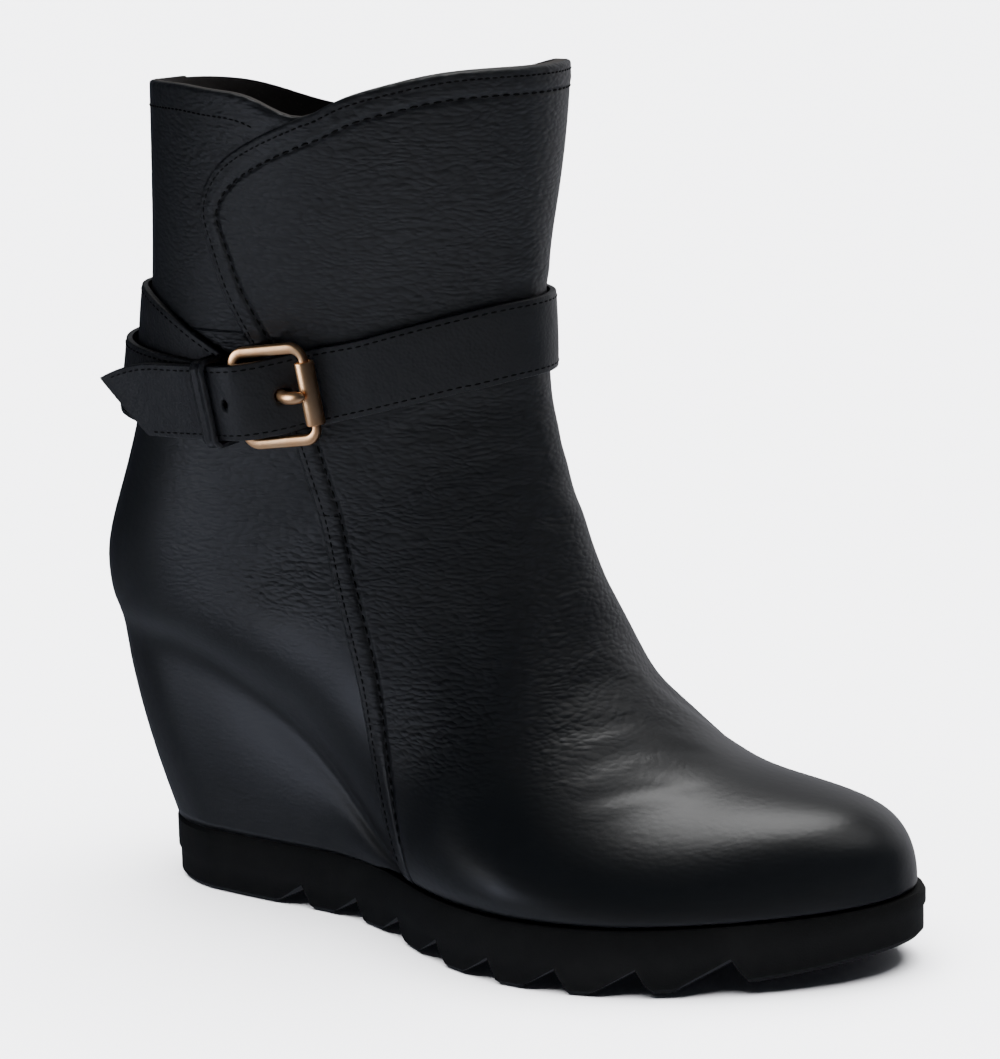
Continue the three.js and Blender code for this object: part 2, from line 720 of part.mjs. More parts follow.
// Band of one wall's thickness through its stations
function band(stations, thickness) {
  const points = [];
  for (const { low, high, normal } of stations) {
    points.push(low, high);
    points.push(high.clone().addScaledVector(normal, thickness), low.clone().addScaledVector(normal, thickness));
  }
  const triangles = [];
  for (let i = 0; i < stations.length - 1; i++) {
    for (let k = 0; k < 4; k++) {
      const a = i * 4 + k;
      const b = i * 4 + (k + 1) % 4;
      triangles.push([a, b, b + 4], [a, b + 4, a + 4]);
    }
  }
  const end = (stations.length - 1) * 4;
  triangles.push([0, 2, 1], [0, 3, 2], [end, end + 1, end + 2], [end, end + 2, end + 3]);
  return solidFrom(points, triangles);
}

// The buckle's own axes: along the strap, across it and out of the shaft
function buckleAxes() {
  const { point, normal } = shaftPoint(buckleTurn, buckleHeight, buckleLift);
  const level = new THREE.Vector3(0, 0, 1).cross(normal).normalize();
  const across = normal.clone().cross(level).normalize();
  const axes = new THREE.Matrix4().makeBasis(level, across, normal);
  axes.setPosition(point);
  const tilt = new THREE.Matrix4().makeRotationZ(THREE.MathUtils.degToRad(buckleTilt));
  const lean = new THREE.Matrix4().makeRotationY(THREE.MathUtils.degToRad(-buckleLean));
  return axes.multiply(tilt).multiply(lean);
}

function welded(geometry) {
  const loose = geometry.index ? geometry.toNonIndexed() : geometry;
  const position = loose.attributes.position;
  const points = [];
  const triangles = [];
  for (let k = 0; k < position.count; k++) {
    points.push(new THREE.Vector3().fromBufferAttribute(position, k));
  }
  for (let k = 0; k < position.count; k += 3) {
    triangles.push([k, k + 1, k + 2]);
  }
  return solidFrom(points, triangles);
}

function roundedRectangle(path, left, right, low, high, corner) {
  path.moveTo(left + corner, low);
  path.lineTo(right - corner, low);
  path.absarc(right - corner, low + corner, corner, -Math.PI / 2, 0, false);
  path.lineTo(right, high - corner);
  path.absarc(right - corner, high - corner, corner, 0, Math.PI / 2, false);
  path.lineTo(left + corner, high);
  path.absarc(left + corner, high - corner, corner, Math.PI / 2, Math.PI, false);
  path.lineTo(left, low + corner);
  path.absarc(left + corner, low + corner, corner, Math.PI, 1.5 * Math.PI, false);
  return path;
}

const rollerBore = rollerRadius - rollerWall;
const rollerBar = 2 * (rollerBore - gap) / Math.SQRT2;
const rollerPlace = buckleLength / 2 - rollerBar / 2;

function buckleFrame() {
  const x = buckleLength / 2 - buckleBevel;
  const y = buckleAcross / 2 - buckleBevel;
  const shape = roundedRectangle(new THREE.Shape(), -x, x, -y, y, buckleCorner - buckleBevel);
  const hole = roundedRectangle(
    new THREE.Path(),
    -buckleLength / 2 + buckleRim - buckleBevel, buckleLength / 2 - rollerBar + buckleBevel,
    -buckleAcross / 2 + buckleRim - buckleBevel, buckleAcross / 2 - buckleRim + buckleBevel,
    (buckleCorner - buckleRim) / 2,
  );
  shape.holes.push(hole);
  const geometry = new THREE.ExtrudeGeometry(shape, {
    depth: buckleWall - 2 * buckleBevel,
    bevelEnabled: true,
    bevelThickness: buckleBevel,
    bevelSize: buckleBevel,
    bevelSegments: 2,
    curveSegments: 5,
  });
  geometry.translate(0, 0, -buckleWall / 2 + buckleBevel);
  return welded(geometry).applyMatrix4(buckleAxes());
}

function buckleRoller() {
  const half = buckleAcross / 2 - buckleRim - gap - 0.4 * buckleCorner;
  const profile = [
    new THREE.Vector2(rollerBore, -half),
    new THREE.Vector2(rollerRadius, -half),
    new THREE.Vector2(rollerRadius, half),
    new THREE.Vector2(rollerBore, half),
    new THREE.Vector2(rollerBore, -half),
  ];
  const geometry = new THREE.LatheGeometry(profile, 16);
  geometry.translate(rollerPlace, 0, 0);
  return welded(geometry).applyMatrix4(buckleAxes());
}

// Prong from its eye on the hidden bar, up through the strap and over the roller
const hiddenBar = -(buckleLength - buckleRim) / 2;
const eyeBore = buckleRim / 2 + 2 * gap;
const eyeRadius = eyeBore + prongRadius;

function prong(grow) {
  const half = prongRadius + grow;
  const eye = new THREE.LatheGeometry([
    new THREE.Vector2(eyeBore, -half),
    new THREE.Vector2(eyeRadius + grow, -half),
    new THREE.Vector2(eyeRadius + grow, half),
    new THREE.Vector2(eyeBore, half),
    new THREE.Vector2(eyeBore, -half),
  ], 14);
  eye.translate(hiddenBar, 0, 0);
  const top = rollerRadius + gap + prongRadius;
  const path = new THREE.CatmullRomCurve3([
    new THREE.Vector3(hiddenBar + eyeBore + prongRadius / 2, 0, 0),
    new THREE.Vector3(-0.15 * buckleLength, 0, 0.25 * top),
    new THREE.Vector3(0.15 * buckleLength, 0, 0.9 * top),
    new THREE.Vector3(rollerPlace - rollerRadius, 0, top),
    new THREE.Vector3(rollerPlace, 0, top),
  ]);
  const section = new THREE.Shape();
  section.absarc(0, 0, half, 0, 2 * Math.PI, false);
  const rod = new THREE.ExtrudeGeometry(section, { steps: 12, extrudePath: path, curveSegments: 5 });
  const joined = toManifold(welded(eye)).add(toManifold(welded(rod)));
  return fromManifold(joined).applyMatrix4(buckleAxes());
}

// Ankle strap on through the buckle to its slanted end, pierced for the prong
function ankleStrap() {
  const axes = buckleAxes();
  const out = curveOf(strapThrough, 'along', 'out');
  const rise = curveOf(strapThrough, 'along', 'rise');
  const tip = strapThrough[0].along;
  const entry = strapThrough[strapThrough.length - 1].along;
  const small = 0.05;
  const through = [];
  for (let i = 0; i <= throughSteps; i++) {
    const share = i / throughSteps;
    const high = tip + (entry - tip) * share;
    const low = high + tailSlant * Math.max(0, 1 - 2 * share);
    const droop = tailDroop * Math.max(0, 1 - 3 * share) ** 2;
    const slope = Math.atan2(out(low + small) - out(low - small), 2 * small);
    through.push({
      low: new THREE.Vector3(low, rise(low) - strapWidth / 2, out(low)).applyMatrix4(axes),
      high: new THREE.Vector3(high, rise(high) + strapWidth / 2 - droop, out(high)).applyMatrix4(axes),
      normal: new THREE.Vector3(-Math.sin(slope), 0, Math.cos(slope)).transformDirection(axes),
    });
  }
  const stations = [...through, ...strapStations(ankleRoute, strapSteps)];
  const whole = toManifold(band(stations, strapWall));
  return fromManifold(whole.subtract(toManifold(prong(gap))));
}

// Buckle strap, folded round the buckle's hidden bar with a slot for the prong's eye
function buckleStrap() {
  const stations = strapStations(buckleRoute, strapSteps / 2);
  const axes = buckleAxes();
  const inner = buckleRim / 2 + 1.5 * gap;
  const deep = buckleWall / 2 + gap;
  for (let i = 0; i <= 8; i++) {
    const angle = -Math.PI / 2 + Math.PI * i / 8;
    const x = hiddenBar + inner * Math.cos(angle);
    const z = deep * Math.sin(angle);
    const place = (y) => new THREE.Vector3(x, y, z).applyMatrix4(axes);
    const outwards = new THREE.Vector3(Math.cos(angle), 0, Math.sin(angle)).transformDirection(axes);
    stations.push({
      low: place(-foldWidth / 2).addScaledVector(outwards, strapWall),
      high: place(foldWidth / 2).addScaledVector(outwards, strapWall),
      normal: outwards.negate(),
    });
  }
  const back = new THREE.Vector3(-buckleRim, 0, 0).transformDirection(axes);
  const final = stations[stations.length - 1];
  stations.push({
    low: final.low.clone().addScaledVector(back, buckleRim),
    high: final.high.clone().addScaledVector(back, buckleRim),
    normal: final.normal,
  });
  const slotReach = 2 * (eyeRadius + 2 * gap);
  const slot = new THREE.BoxGeometry(slotReach, 2 * (prongRadius + gap), slotReach);
  slot.translate(hiddenBar, 0, 0);
  const cutter = toManifold(welded(slot).applyMatrix4(axes));
  return fromManifold(toManifold(band(stations, strapWall)).subtract(cutter));
}

// Keeper: an arch over the strap's tail, its legs down beside the buckle strap
function keeper() {
  const tail = curveOf(strapThrough, 'along', 'out');
  const place = hiddenBar - keeperPlace;
  const lean = Math.atan2(tail(place + 1) - tail(place - 1), 2);
  const top = strapWall + 3 * gap;
  const half = strapWidth / 2 + 2 * gap;
  const arch = new THREE.Shape();
  arch.moveTo(-half - keeperWall, top - keeperLeg);
  arch.lineTo(-half, top - keeperLeg);
  arch.lineTo(-half, top);
  arch.lineTo(half, top);
  arch.lineTo(half, top - keeperLeg);
  arch.lineTo(half + keeperWall, top - keeperLeg);
  arch.lineTo(half + keeperWall, top + keeperWall * 0.6);
  arch.lineTo(half + keeperWall * 0.4, top + keeperWall);
  arch.lineTo(-half - keeperWall * 0.4, top + keeperWall);
  arch.lineTo(-half - keeperWall, top + keeperWall * 0.6);
  const geometry = new THREE.ExtrudeGeometry(arch, { depth: keeperWidth, bevelEnabled: false });
  geometry.translate(0, 0, -keeperWidth / 2);
  const run = new THREE.Vector3(Math.cos(lean), 0, Math.sin(lean));
  const out = new THREE.Vector3(-Math.sin(lean), 0, Math.cos(lean));
  const own = new THREE.Matrix4().makeBasis(new THREE.Vector3(0, 1, 0), out, run);
  own.setPosition(place, 0, tail(place));
  return welded(geometry).applyMatrix4(buckleAxes().multiply(own));
}

const brass = { color: 0xb98a68, roughness: 0.35, metalness: 1 };
addMesh('outsole', outsole(), 0x17181a, 0.75, 0);
addMesh('wedge_heel', wedgeHeel(), 0x14171b, 0.35, 0);
addMesh('insole', insole(), 0x2b2724, 0.8, 0);
addMesh('upper', upper(), 0x121519, 0.4, 0);
addMesh('ankle_strap', ankleStrap(), 0x121519, 0.4, 0);
addMesh('buckle_strap', buckleStrap(), 0x121519, 0.4, 0);
addMesh('strap_keeper', keeper(), 0x121519, 0.4, 0);
addMesh('buckle_frame', buckleFrame(), brass.color, brass.roughness, brass.metalness);
addMesh('buckle_roller', buckleRoller(), brass.color, brass.roughness, brass.metalness);
addMesh('buckle_prong', prong(0), brass.color, brass.roughness, brass.metalness);
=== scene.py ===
"""Looks of a right ankle boot with a covered wedge, a wrapped strap and a roller buckle.

Sizes are in millimetres, counted from the rearmost bulge of the heel, with +X to the toe,
-Y to the outer side of the foot and +Z up. They are turned to metres in the row frame where
a mesh is made.
"""
import logging
import math
from dataclasses import dataclass, field
from enum import Enum
from typing import Any, Callable, Sequence

import bmesh
import bpy
import numpy as np
from mathutils import Matrix, Vector


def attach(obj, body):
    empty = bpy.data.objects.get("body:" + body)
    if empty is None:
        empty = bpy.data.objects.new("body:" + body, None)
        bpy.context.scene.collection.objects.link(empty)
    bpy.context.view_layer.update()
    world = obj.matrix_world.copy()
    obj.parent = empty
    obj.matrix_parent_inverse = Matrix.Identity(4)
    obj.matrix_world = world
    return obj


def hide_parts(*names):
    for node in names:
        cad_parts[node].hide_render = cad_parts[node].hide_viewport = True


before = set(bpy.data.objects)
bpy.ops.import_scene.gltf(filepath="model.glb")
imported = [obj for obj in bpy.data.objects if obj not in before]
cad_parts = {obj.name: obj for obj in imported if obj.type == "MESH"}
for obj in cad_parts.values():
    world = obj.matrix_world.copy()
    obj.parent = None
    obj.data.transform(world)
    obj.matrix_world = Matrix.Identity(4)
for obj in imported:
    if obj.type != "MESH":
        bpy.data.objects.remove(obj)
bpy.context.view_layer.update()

log = logging.getLogger("boot")

MM = 0.001
BODY = "root"
HEEL_PLACE = 44.0

# Photograph: its height in pixels, and where the camera stood in millimetres and degrees
PHOTO_HIGH = 1059
CAMERA_TURN = 35.0
CAMERA_RISE = 11.328
CAMERA_AWAY = 927.0
CAMERA_ROLL = -1.5006
CAMERA_FOCAL_PX = 3611.4
CAMERA_AIM = (126.74, -4.06, 102.93)
SENSOR = 36.0
CLIP_END = 60

# Where the soft boxes aim, in metres
LIGHT_AIM = (0.07, 0.0, 0.09)

# Light from all round: dim room, floor's glow, backdrop, and a window's glare with its direction
ROOM_LIGHT = (0.026, 0.029, 0.038, 1.0)
FLOOR_GLOW = (0.42, 0.45, 0.54, 1.0)
BACKDROP_LIGHT = (0.60, 0.60, 0.64, 1.0)
GLARE_LIGHT = (1.7, 1.8, 2.2, 1.0)
GLARE_TOWARD = (-0.55, -0.83, -0.12)


def row_frame(points: np.ndarray) -> np.ndarray:
    """Turn millimetres from the back of the heel to metres in the row frame.

    Args:
        points: array whose last axis is x, y, z.

    Returns:
        An array of the same shape.
    """
    return (np.asarray(points, float) - np.array([HEEL_PLACE, 0.0, 0.0])) * MM


def linear(code: str) -> tuple[float, float, float, float]:
    """Turn an sRGB hex colour to linear red, green, blue and alpha.

    Args:
        code: six hex digits.

    Returns:
        The colour for a shader's socket.
    """
    parts = [int(code[i:i + 2], 16) / 255 for i in (0, 2, 4)]
    return (*[p / 12.92 if p <= 0.04045 else ((p + 0.055) / 1.055) ** 2.4 for p in parts], 1.0)


class Spline:
    """Natural cubic through given values."""

    def __init__(self, at: Sequence[float], value: Sequence[float]) -> None:
        """Find the bends of the curve.

        Args:
            at: rising places.
            value: the values there.
        """
        self.x = np.asarray(at, float)
        self.y = np.asarray(value, float)
        count = len(self.x)
        steps = np.diff(self.x)
        matrix = np.eye(count)
        jumps = np.zeros(count)
        for i in range(1, count - 1):
            matrix[i, i - 1:i + 2] = steps[i - 1], 2 * (steps[i - 1] + steps[i]), steps[i]
            rises = np.diff(self.y[i - 1:i + 2]) / steps[i - 1:i + 1]
            jumps[i] = 6 * (rises[1] - rises[0])
        self.bend = np.linalg.solve(matrix, jumps)

    def __call__(self, at: Any) -> np.ndarray:
        """Give the curve's value, held at its ends outside the table.

        Args:
            at: place or array of places.

        Returns:
            An array of values.
        """
        here = np.clip(np.asarray(at, float), self.x[0], self.x[-1])
        i = np.clip(np.searchsorted(self.x, here, side="left") - 1, 0, len(self.x) - 2)
        step = self.x[i + 1] - self.x[i]
        a = (self.x[i + 1] - here) / step
        b = 1 - a
        sag = ((a ** 3 - a) * self.bend[i] + (b ** 3 - b) * self.bend[i + 1]) * step ** 2 / 6
        return a * self.y[i] + b * self.y[i + 1] + sag


def splines(columns: Sequence[str], rows: Sequence[Sequence[float]]) -> dict[str, Spline]:
    """Make one curve for each column of a table over its first column.

    Args:
        columns: names of the columns, the first being the place.
        rows: the table.

    Returns:
        Curves by name.
    """
    table = np.asarray(rows, float)
    return {name: Spline(table[:, 0], table[:, k]) for k, name in enumerate(columns) if k}


def crossing(low: np.ndarray, high: np.ndarray, measure: Callable, rounds: int = 26) -> np.ndarray:
    """Find where a rising measure passes zero, between two arrays of values.

    Args:
        low: values where the measure is below zero.
        high: values where it is above zero.
        measure: function of an array of values.
        rounds: number of halvings.

    Returns:
        The array of crossings.
    """
    low = np.array(low, float)
    high = np.array(high, float)
    for _ in range(rounds):
        middle = (low + high) / 2
        below = measure(middle) < 0
        low = np.where(below, middle, low)
        high = np.where(below, high, middle)
    return (low + high) / 2


def unit(vectors: np.ndarray) -> np.ndarray:
    """Scale vectors to length one."""
    return vectors / np.maximum(np.linalg.norm(vectors, axis=-1, keepdims=True), 1e-9)


# Plan of the sole: shares of the boot's length, and of the ball's or heel's width
PLAN_COLUMNS = ("along", "centre", "heel", "ball")
PLAN = (
    (0.0, 0.0, 0.97, 0.0),
    (0.14, 0.0, 0.99, 0.0),
    (0.22, -0.005, 1.03, 0.0),
    (0.30, -0.008, 0.99, 0.03),
    (0.38, -0.008, 0.82, 0.15),
    (0.46, -0.014, 0.52, 0.45),
    (0.54, -0.036, 0.20, 0.81),
    (0.62, -0.056, 0.02, 1.01),
    (0.70, -0.064, 0.0, 1.05),
    (0.80, -0.045, 0.0, 1.06),
    (0.90, 0.018, 0.0, 1.05),
    (1.0, 0.085, 0.0, 1.05),
)

# Height of the last's feather edge: share of the way to the ball, share of the heel's rise
FEATHER_COLUMNS = ("along", "rise")
FEATHER = (
    (0.0, 1.0),
    (0.15, 0.995),
    (0.355, 0.93),
    (0.5, 0.805),
    (0.585, 0.713),
    (0.66, 0.605),
    (0.73, 0.468),
    (0.8, 0.31),
    (0.87, 0.163),
    (0.93, 0.062),
    (1.0, 0.008),
    (1.1, 0.0),
)

# Sections of the last from the toe to the collar, as shares of its named sizes
SECTION_COLUMNS = ("at", "front", "under", "top", "back", "swell", "heelward", "full", "ridge")
SECTIONS = (
    (0, 1.000, 1.000, 0.0, 0, 1.0, 0.0, 0.1, 0.075),
    (1, 0.9955, 0.9955, 0.056, 0, 1.005, 0.0, 0.12, 0.073),
    (2, 0.981, 0.981, 0.098, 0, 1.01, 0.02, 0.14, 0.070),
    (3, 0.952, 0.952, 0.131, 0, 1.02, 0.04, 0.12, 0.068),
    (4, 0.907, 0.906, 0.152, 0, 1.02, 0.08, 0.10, 0.064),
    (5, 0.852, 0.848, 0.168, 0, 1.02, 0.14, 0.06, 0.058),
    (6, 0.791, 0.785, 0.190, 0, 1.02, 0.20, 0.02, 0.050),
    (7, 0.736, 0.720, 0.236, 0, 1.02, 0.26, 0.0, 0.042),
    (8, 0.689, 0.651, 0.300, 0, 1.03, 0.30, 0.0, 0.036),
    (9, 0.655, 0.573, 0.373, 0, 1.06, 0.32, 0.02, 0.030),
    (10, 0.629, 0.487, 0.471, 0, 1.14, 0.32, 0.06, 0.025),
    (11, 0.611, 0.393, 0.443, 0, 1.20, 0.30, 0.12, 0.020),
    (12, 0.598, 0.291, 0.371, 0, 1.20, 0.28, 0.17, 0.016),
    (13, 0.586, 0.189, 0.372, 0, 1.18, 0.26, 0.21, 0.012),
    (14, 0.578, 0.100, 0.417, 0, 1.17, 0.25, 0.24, 0.008),
    (15, 0.573, 0.038, 0.463, 0, 1.17, 0.24, 0.25, 0.005),
    (16, 0.571, 0.0118, 0.515, 0, 1.17, 0.23, 0.25, 0.003),
    (17, 0.570, 0.000, 0.495, 0.07, 1.17, 0.22, 0.24, 0.0),
    (18, 0.570, 0.004, 0.468, 0.15, 1.17, 0.19, 0.22, 0.0),
    (19, 0.572, 0.029, 0.415, 0.26, 1.19, 0.15, 0.20, 0.0),
    (20, 0.576, 0.057, 0.350, 0.39, 1.26, 0.11, 0.16, 0.0),
    (21, 0.581, 0.078, 0.272, 0.53, 1.37, 0.07, 0.11, 0.0),
    (22, 0.586, 0.089, 0.190, 0.68, 1.48, 0.04, 0.07, 0.0),
    (23, 0.590, 0.094, 0.105, 0.84, 1.57, 0.01, 0.04, 0.0),
    (24, 0.594, 0.097, 0.030, 1.0, 1.62, 0.0, 0.02, 0.0),
    (25, 0.596, 0.099, 0.0, 1.1, 1.65, 0.0, 0.02, 0.0),
)
LAST_ROW = len(SECTIONS) - 1

# Extra rows close under the collar, counted back from the last section
NEAR_COLLAR = (0.18, 0.1, 0.055, 0.025, 0.008)

# Tracing of a row of stitches: halvings, sections searched, and how far off a place may lie
ROW_ROUNDS = 14
ROW_SEARCH = 3.0
ROW_MISS = 0.15

# Edge of the front panel in side view: height, then its place on the outer and inner side
LAP_COLUMNS = ("height", "outer", "inner")
LAP = (
    (0.08, 0.49, 0.488),
    (0.14, 0.467, 0.463),
    (0.19, 0.45, 0.446),
    (0.25, 0.434, 0.43),
    (0.32, 0.417, 0.413),
    (0.4, 0.392, 0.388),
    (0.47, 0.3685, 0.371),
    (0.55, 0.3455, 0.354),
    (0.63, 0.3195, 0.333),
    (0.70, 0.2915, 0.3055),
    (0.76, 0.2695, 0.288),
    (0.81, 0.258, 0.277),
    (0.85, 0.2515, 0.271),
    (0.88, 0.2635, 0.269),
    (0.91, 0.292, 0.271),
    (0.935, 0.335, 0.275),
    (0.962, 0.397, 0.284),
)

# Height of the collar's edge along the boot, on the outer and inner side
COLLAR_COLUMNS = ("along", "outer", "inner")
COLLAR = (
    (0.09, 0.988, 0.988),
    (0.125, 0.992, 0.978),
    (0.175, 0.994, 0.955),
    (0.225, 0.994, 0.940),
    (0.275, 0.990, 0.934),
    (0.335, 0.981, 0.956),
    (0.397, 0.962, 0.978),
    (0.43, 0.977, 0.988),
    (0.48, 0.995, 0.998),
    (0.53, 1.008, 1.008),
    (0.57, 1.012, 1.012),
    (0.60, 1.011, 1.011),
)

# Ankle strap round the shaft: turn, height of its middle, lift in walls, lean in walls
ROUTE_COLUMNS = ("turn", "height", "lift", "lean")
ANKLE_ROUTE = (
    (-0.668, 0.6595, 1.25, 0),
    (-0.639, 0.6720, 1.2, 0),
    (-0.600, 0.6860, 1.2, 0),
    (-0.554, 0.6970, 1.2, 0),
    (-0.500, 0.7010, 1.2, 0),
    (-0.400, 0.7030, 1.25, 0),
    (-0.290, 0.7025, 1.25, 0),
    (-0.220, 0.7010, 1.25, 0),
    (-0.120, 0.6990, 0.9, 0.1),
    (0.0, 0.6975, 1.4, 0.5),
    (0.050, 0.6985, 1.0, 0.3),
    (0.104, 0.6950, 0.3, 0),
    (0.180, 0.6562, 0.25, 0),
    (0.222, 0.6300, 0.27, 0.15),
    (0.241, 0.6210, 0.27, 0.18),
)

# The same strap through the buckle, in the buckle's axes, in millimetres
THROUGH_COLUMNS = ("along", "out", "rise")
THROUGH = (
    (-56.0, -7.4, 2.4),
    (-44.0, -5.0, 1.7),
    (-34.0, -2.6, 1.0),
    (-24.0, -0.2, 0.5),
    (-17.0, 2.0, 0.3),
    (-10.3, 3.8, 0.1),
    (-5.0, 3.0, 0.0),
    (0.0, 0.2, 0.0),
    (5.0, -3.1, 0.2),
    (10.7, -4.6, 0.6),
)
THROUGH_ROUTE = splines(THROUGH_COLUMNS, THROUGH)

# Buckle strap from the inner side round the back to the buckle's bar
BUCKLE_ROUTE = (
    (-0.262, 0.5980, 0.25, 0),
    (-0.220, 0.5995, 0.25, 0),
    (-0.150, 0.6040, 0.6, 0),
    (-0.115, 0.6090, 1.8, 0.3),
    (-0.080, 0.6170, 2.8, 0.6),
    (0.0, 0.6300, 3.2, 1.4),
    (0.060, 0.6300, 2.7, 0.9),
    (0.120, 0.6285, 1.8, 0.2),
    (0.180, 0.6265, 1.6, 0),
    (0.212, 0.6250, 1.7, 0),
)


class Side(Enum):
    """Side of the foot, with its sign along Y."""

    OUTER = -1
    INNER = 1


@dataclass(frozen=True)
class Last:
    """The foot's form that the upper is stretched over, with the sole's plan."""

    boot_length: float = 240.5
    collar_height: float = 219.0
    heel_height: float = 69.5
    ball_width: float = 93.0
    heel_width: float = 52.0
    platform: float = 17.0
    toe_spring: float = 8.0
    toe_lift: float = 2.6
    spring_start: float = 0.70
    sole_ledge: float = 3.2
    seat_swell: float = 1.5
    feather_back: float = 2.8
    ball_break: float = 118.0
    heel_round: float = 27.0
    toe_round_start: float = 0.64
    toe_round_power: float = 1.6
    gap: float = 0.3
    rear_row: int = 16
    shaft_row: int = 20
    ankle_row: int = 12

    def __post_init__(self) -> None:
        """Make the curves of the tables once."""
        object.__setattr__(self, "plan", splines(PLAN_COLUMNS, PLAN))
        object.__setattr__(self, "feather", splines(FEATHER_COLUMNS, FEATHER)["rise"])
        object.__setattr__(self, "rows", splines(SECTION_COLUMNS, SECTIONS))
        object.__setattr__(self, "lap", splines(LAP_COLUMNS, LAP))
        object.__setattr__(self, "collar", splines(COLLAR_COLUMNS, COLLAR))

    @property
    def length(self) -> float:
        """Length of the last, inside the sole's ledge."""
        return self.boot_length - self.sole_ledge

    def centre(self, x: Any) -> np.ndarray:
        """Place across of the sole's middle line at x."""
        return self.plan["centre"](np.asarray(x) / self.boot_length) * self.ball_width

    def open_half(self, x: Any, front: float, inset: Any) -> np.ndarray:
        """Give the half width at x with the toe rounded off.

        Args:
            x: places along the boot.
            front: where the outline ends.
            inset: how far it is drawn in.

        Returns:
            Half widths.
        """
        along = np.asarray(x) / self.boot_length
        broad = (self.plan["heel"](along) * self.heel_width
                 + self.plan["ball"](along) * self.ball_width) / 2
        start = self.toe_round_start * self.boot_length
        ahead = np.clip((np.asarray(x) - start) / (front - start), 0, 1)
        return (broad - inset) * np.sqrt(1 - ahead ** self.toe_round_power)

    def rounded_half(self, x: Any, back: float, front: float, inset: Any) -> np.ndarray:
        """Give the half width at x with the heel rounded off too.

        Args:
            x: places along the boot.
            back: where the outline starts.
            front: where it ends.
            inset: how far it is drawn in.

        Returns:
            Half widths.
        """
        behind = np.clip(1 - (np.asarray(x) - back) / self.heel_round, 0, 1)
        return self.open_half(x, front, inset) * np.sqrt(1 - behind ** 2)

    def spring(self, x: Any) -> np.ndarray:
        """Share of the toe's spring reached at x."""
        start = self.spring_start * self.boot_length
        return np.clip((np.asarray(x) - start) / (self.boot_length - start), 0, None) ** 2

    def sole_under(self, x: Any) -> np.ndarray:
        """Height of the outsole's underside at x."""
        return self.toe_spring * self.spring(x)

    def sole_top(self, x: Any) -> np.ndarray:
        """Height of the outsole's top at x."""
        return self.platform + self.toe_lift * self.spring(x)

    def feather_height(self, x: Any) -> np.ndarray:
        """Height of the feather edge at x, where the upper turns under."""
        rise = self.feather((np.asarray(x) - self.feather_back) / (self.ball_break - self.feather_back))
        seat = self.heel_height - self.platform - self.gap
        return self.sole_top(x) + self.gap + seat * np.maximum(rise, 0)

    def ledge(self, x: Any) -> np.ndarray:
        """How far the feather edge stands in from the outsole's edge at x."""
        share = np.clip((np.asarray(x) - self.feather_back) / (self.ball_break - self.feather_back), 0, 1)
        return self.sole_ledge * share ** 2 - self.seat_swell * (1 - share)

    def point(self, s: Any, v: Any) -> np.ndarray:
        """Give points of the last's surface.

        Args:
            s: rows of the table of sections, toe to collar.
            v: share of the way round, from the outer feather edge over the foot to the inner.

        Returns:
            Points in millimetres, x, y, z along the last axis.
        """
        s, v = np.broadcast_arrays(np.asarray(s, float), np.asarray(v, float))
        shaft = self.collar_height - self.heel_height
        low_x = self.rows["under"](s) * self.length
        is_open = s < self.rear_row
        low_z = self.feather_height(low_x)
        low_z = low_z + np.where(is_open, 0, np.maximum(self.rows["back"](s), 0) * shaft)
        rise = np.maximum(self.rows["top"](s), 0) * shaft
        plain = np.minimum(low_x, self.length)
        half = self.open_half(plain, self.length, self.ledge(plain)) * self.rows["swell"](s)
        heelward = self.rows["heelward"](s)
        full = self.rows["full"](s)

        def width(angle: np.ndarray) -> np.ndarray:
            """Half width of the section at an angle round it."""
            c = np.cos(angle)
            return half * np.sin(angle) * (1 + heelward * c + full * c * c)

        start = np.zeros_like(s)
        if is_open.any():
            foot = self.rounded_half(plain, self.feather_back, self.length, self.ledge(plain))
            low = np.zeros_like(s)
            found = crossing(low, low + math.pi / 2, lambda angle: width(angle) - foot)
            start = np.where(is_open, found, 0)
        share = 1 - np.abs(v - 0.5) * 2
        angle = start + (math.pi - start) * share
        up = (np.cos(start) - np.cos(angle)) / (1 + np.cos(start))
        side = np.where(v < 0.5, -1, 1)
        low_y = self.centre(low_x)
        ridge_y = self.rows["ridge"](s) * self.ball_width
        return np.stack([
            low_x + (self.rows["front"](s) * self.length - low_x) * up,
            low_y + (ridge_y - low_y) * up + side * width(angle),
            low_z + rise * up,
        ], axis=-1)

    def normal(self, s: Any, v: Any) -> np.ndarray:
        """Give outward normals of the last's surface.

        Args:
            s: rows of the table of sections.
            v: shares of the way round.

        Returns:
            Unit vectors.
        """
        small = 0.02
        s, v = np.broadcast_arrays(np.asarray(s, float), np.asarray(v, float))
        along_s = (self.point(np.minimum(s + small, LAST_ROW), v)
                   - self.point(np.maximum(s - small, 0.004), v))
        along_v = (self.point(s, np.minimum(v + small, 0.998))
                   - self.point(s, np.maximum(v - small, 0.002)))
        normal = unit(np.cross(along_v, along_s))
        toe = (s < 0.01)[..., None]
        normal = np.where(toe, np.array([1.0, 0.0, 0.0]), normal)
        seam = (v <= 0) | (v >= 1)
        normal[..., 2] = np.where(seam & (s <= self.rear_row), 0, normal[..., 2])
        normal[..., 1] = np.where(seam & (s >= self.rear_row), 0, normal[..., 1])
        return unit(normal)

    def settle(self, s: Any, v: Any) -> np.ndarray:
        """Draw the rows above the strap down so that they end at the collar's edge.

        Args:
            s: rows of the table of sections.
            v: shares of the way round.

        Returns:
            The rows to use instead.
        """
        s, v = np.broadcast_arrays(np.asarray(s, float), np.asarray(v, float))
        high = s > self.shaft_row
        if not high.any():
            return s.copy()

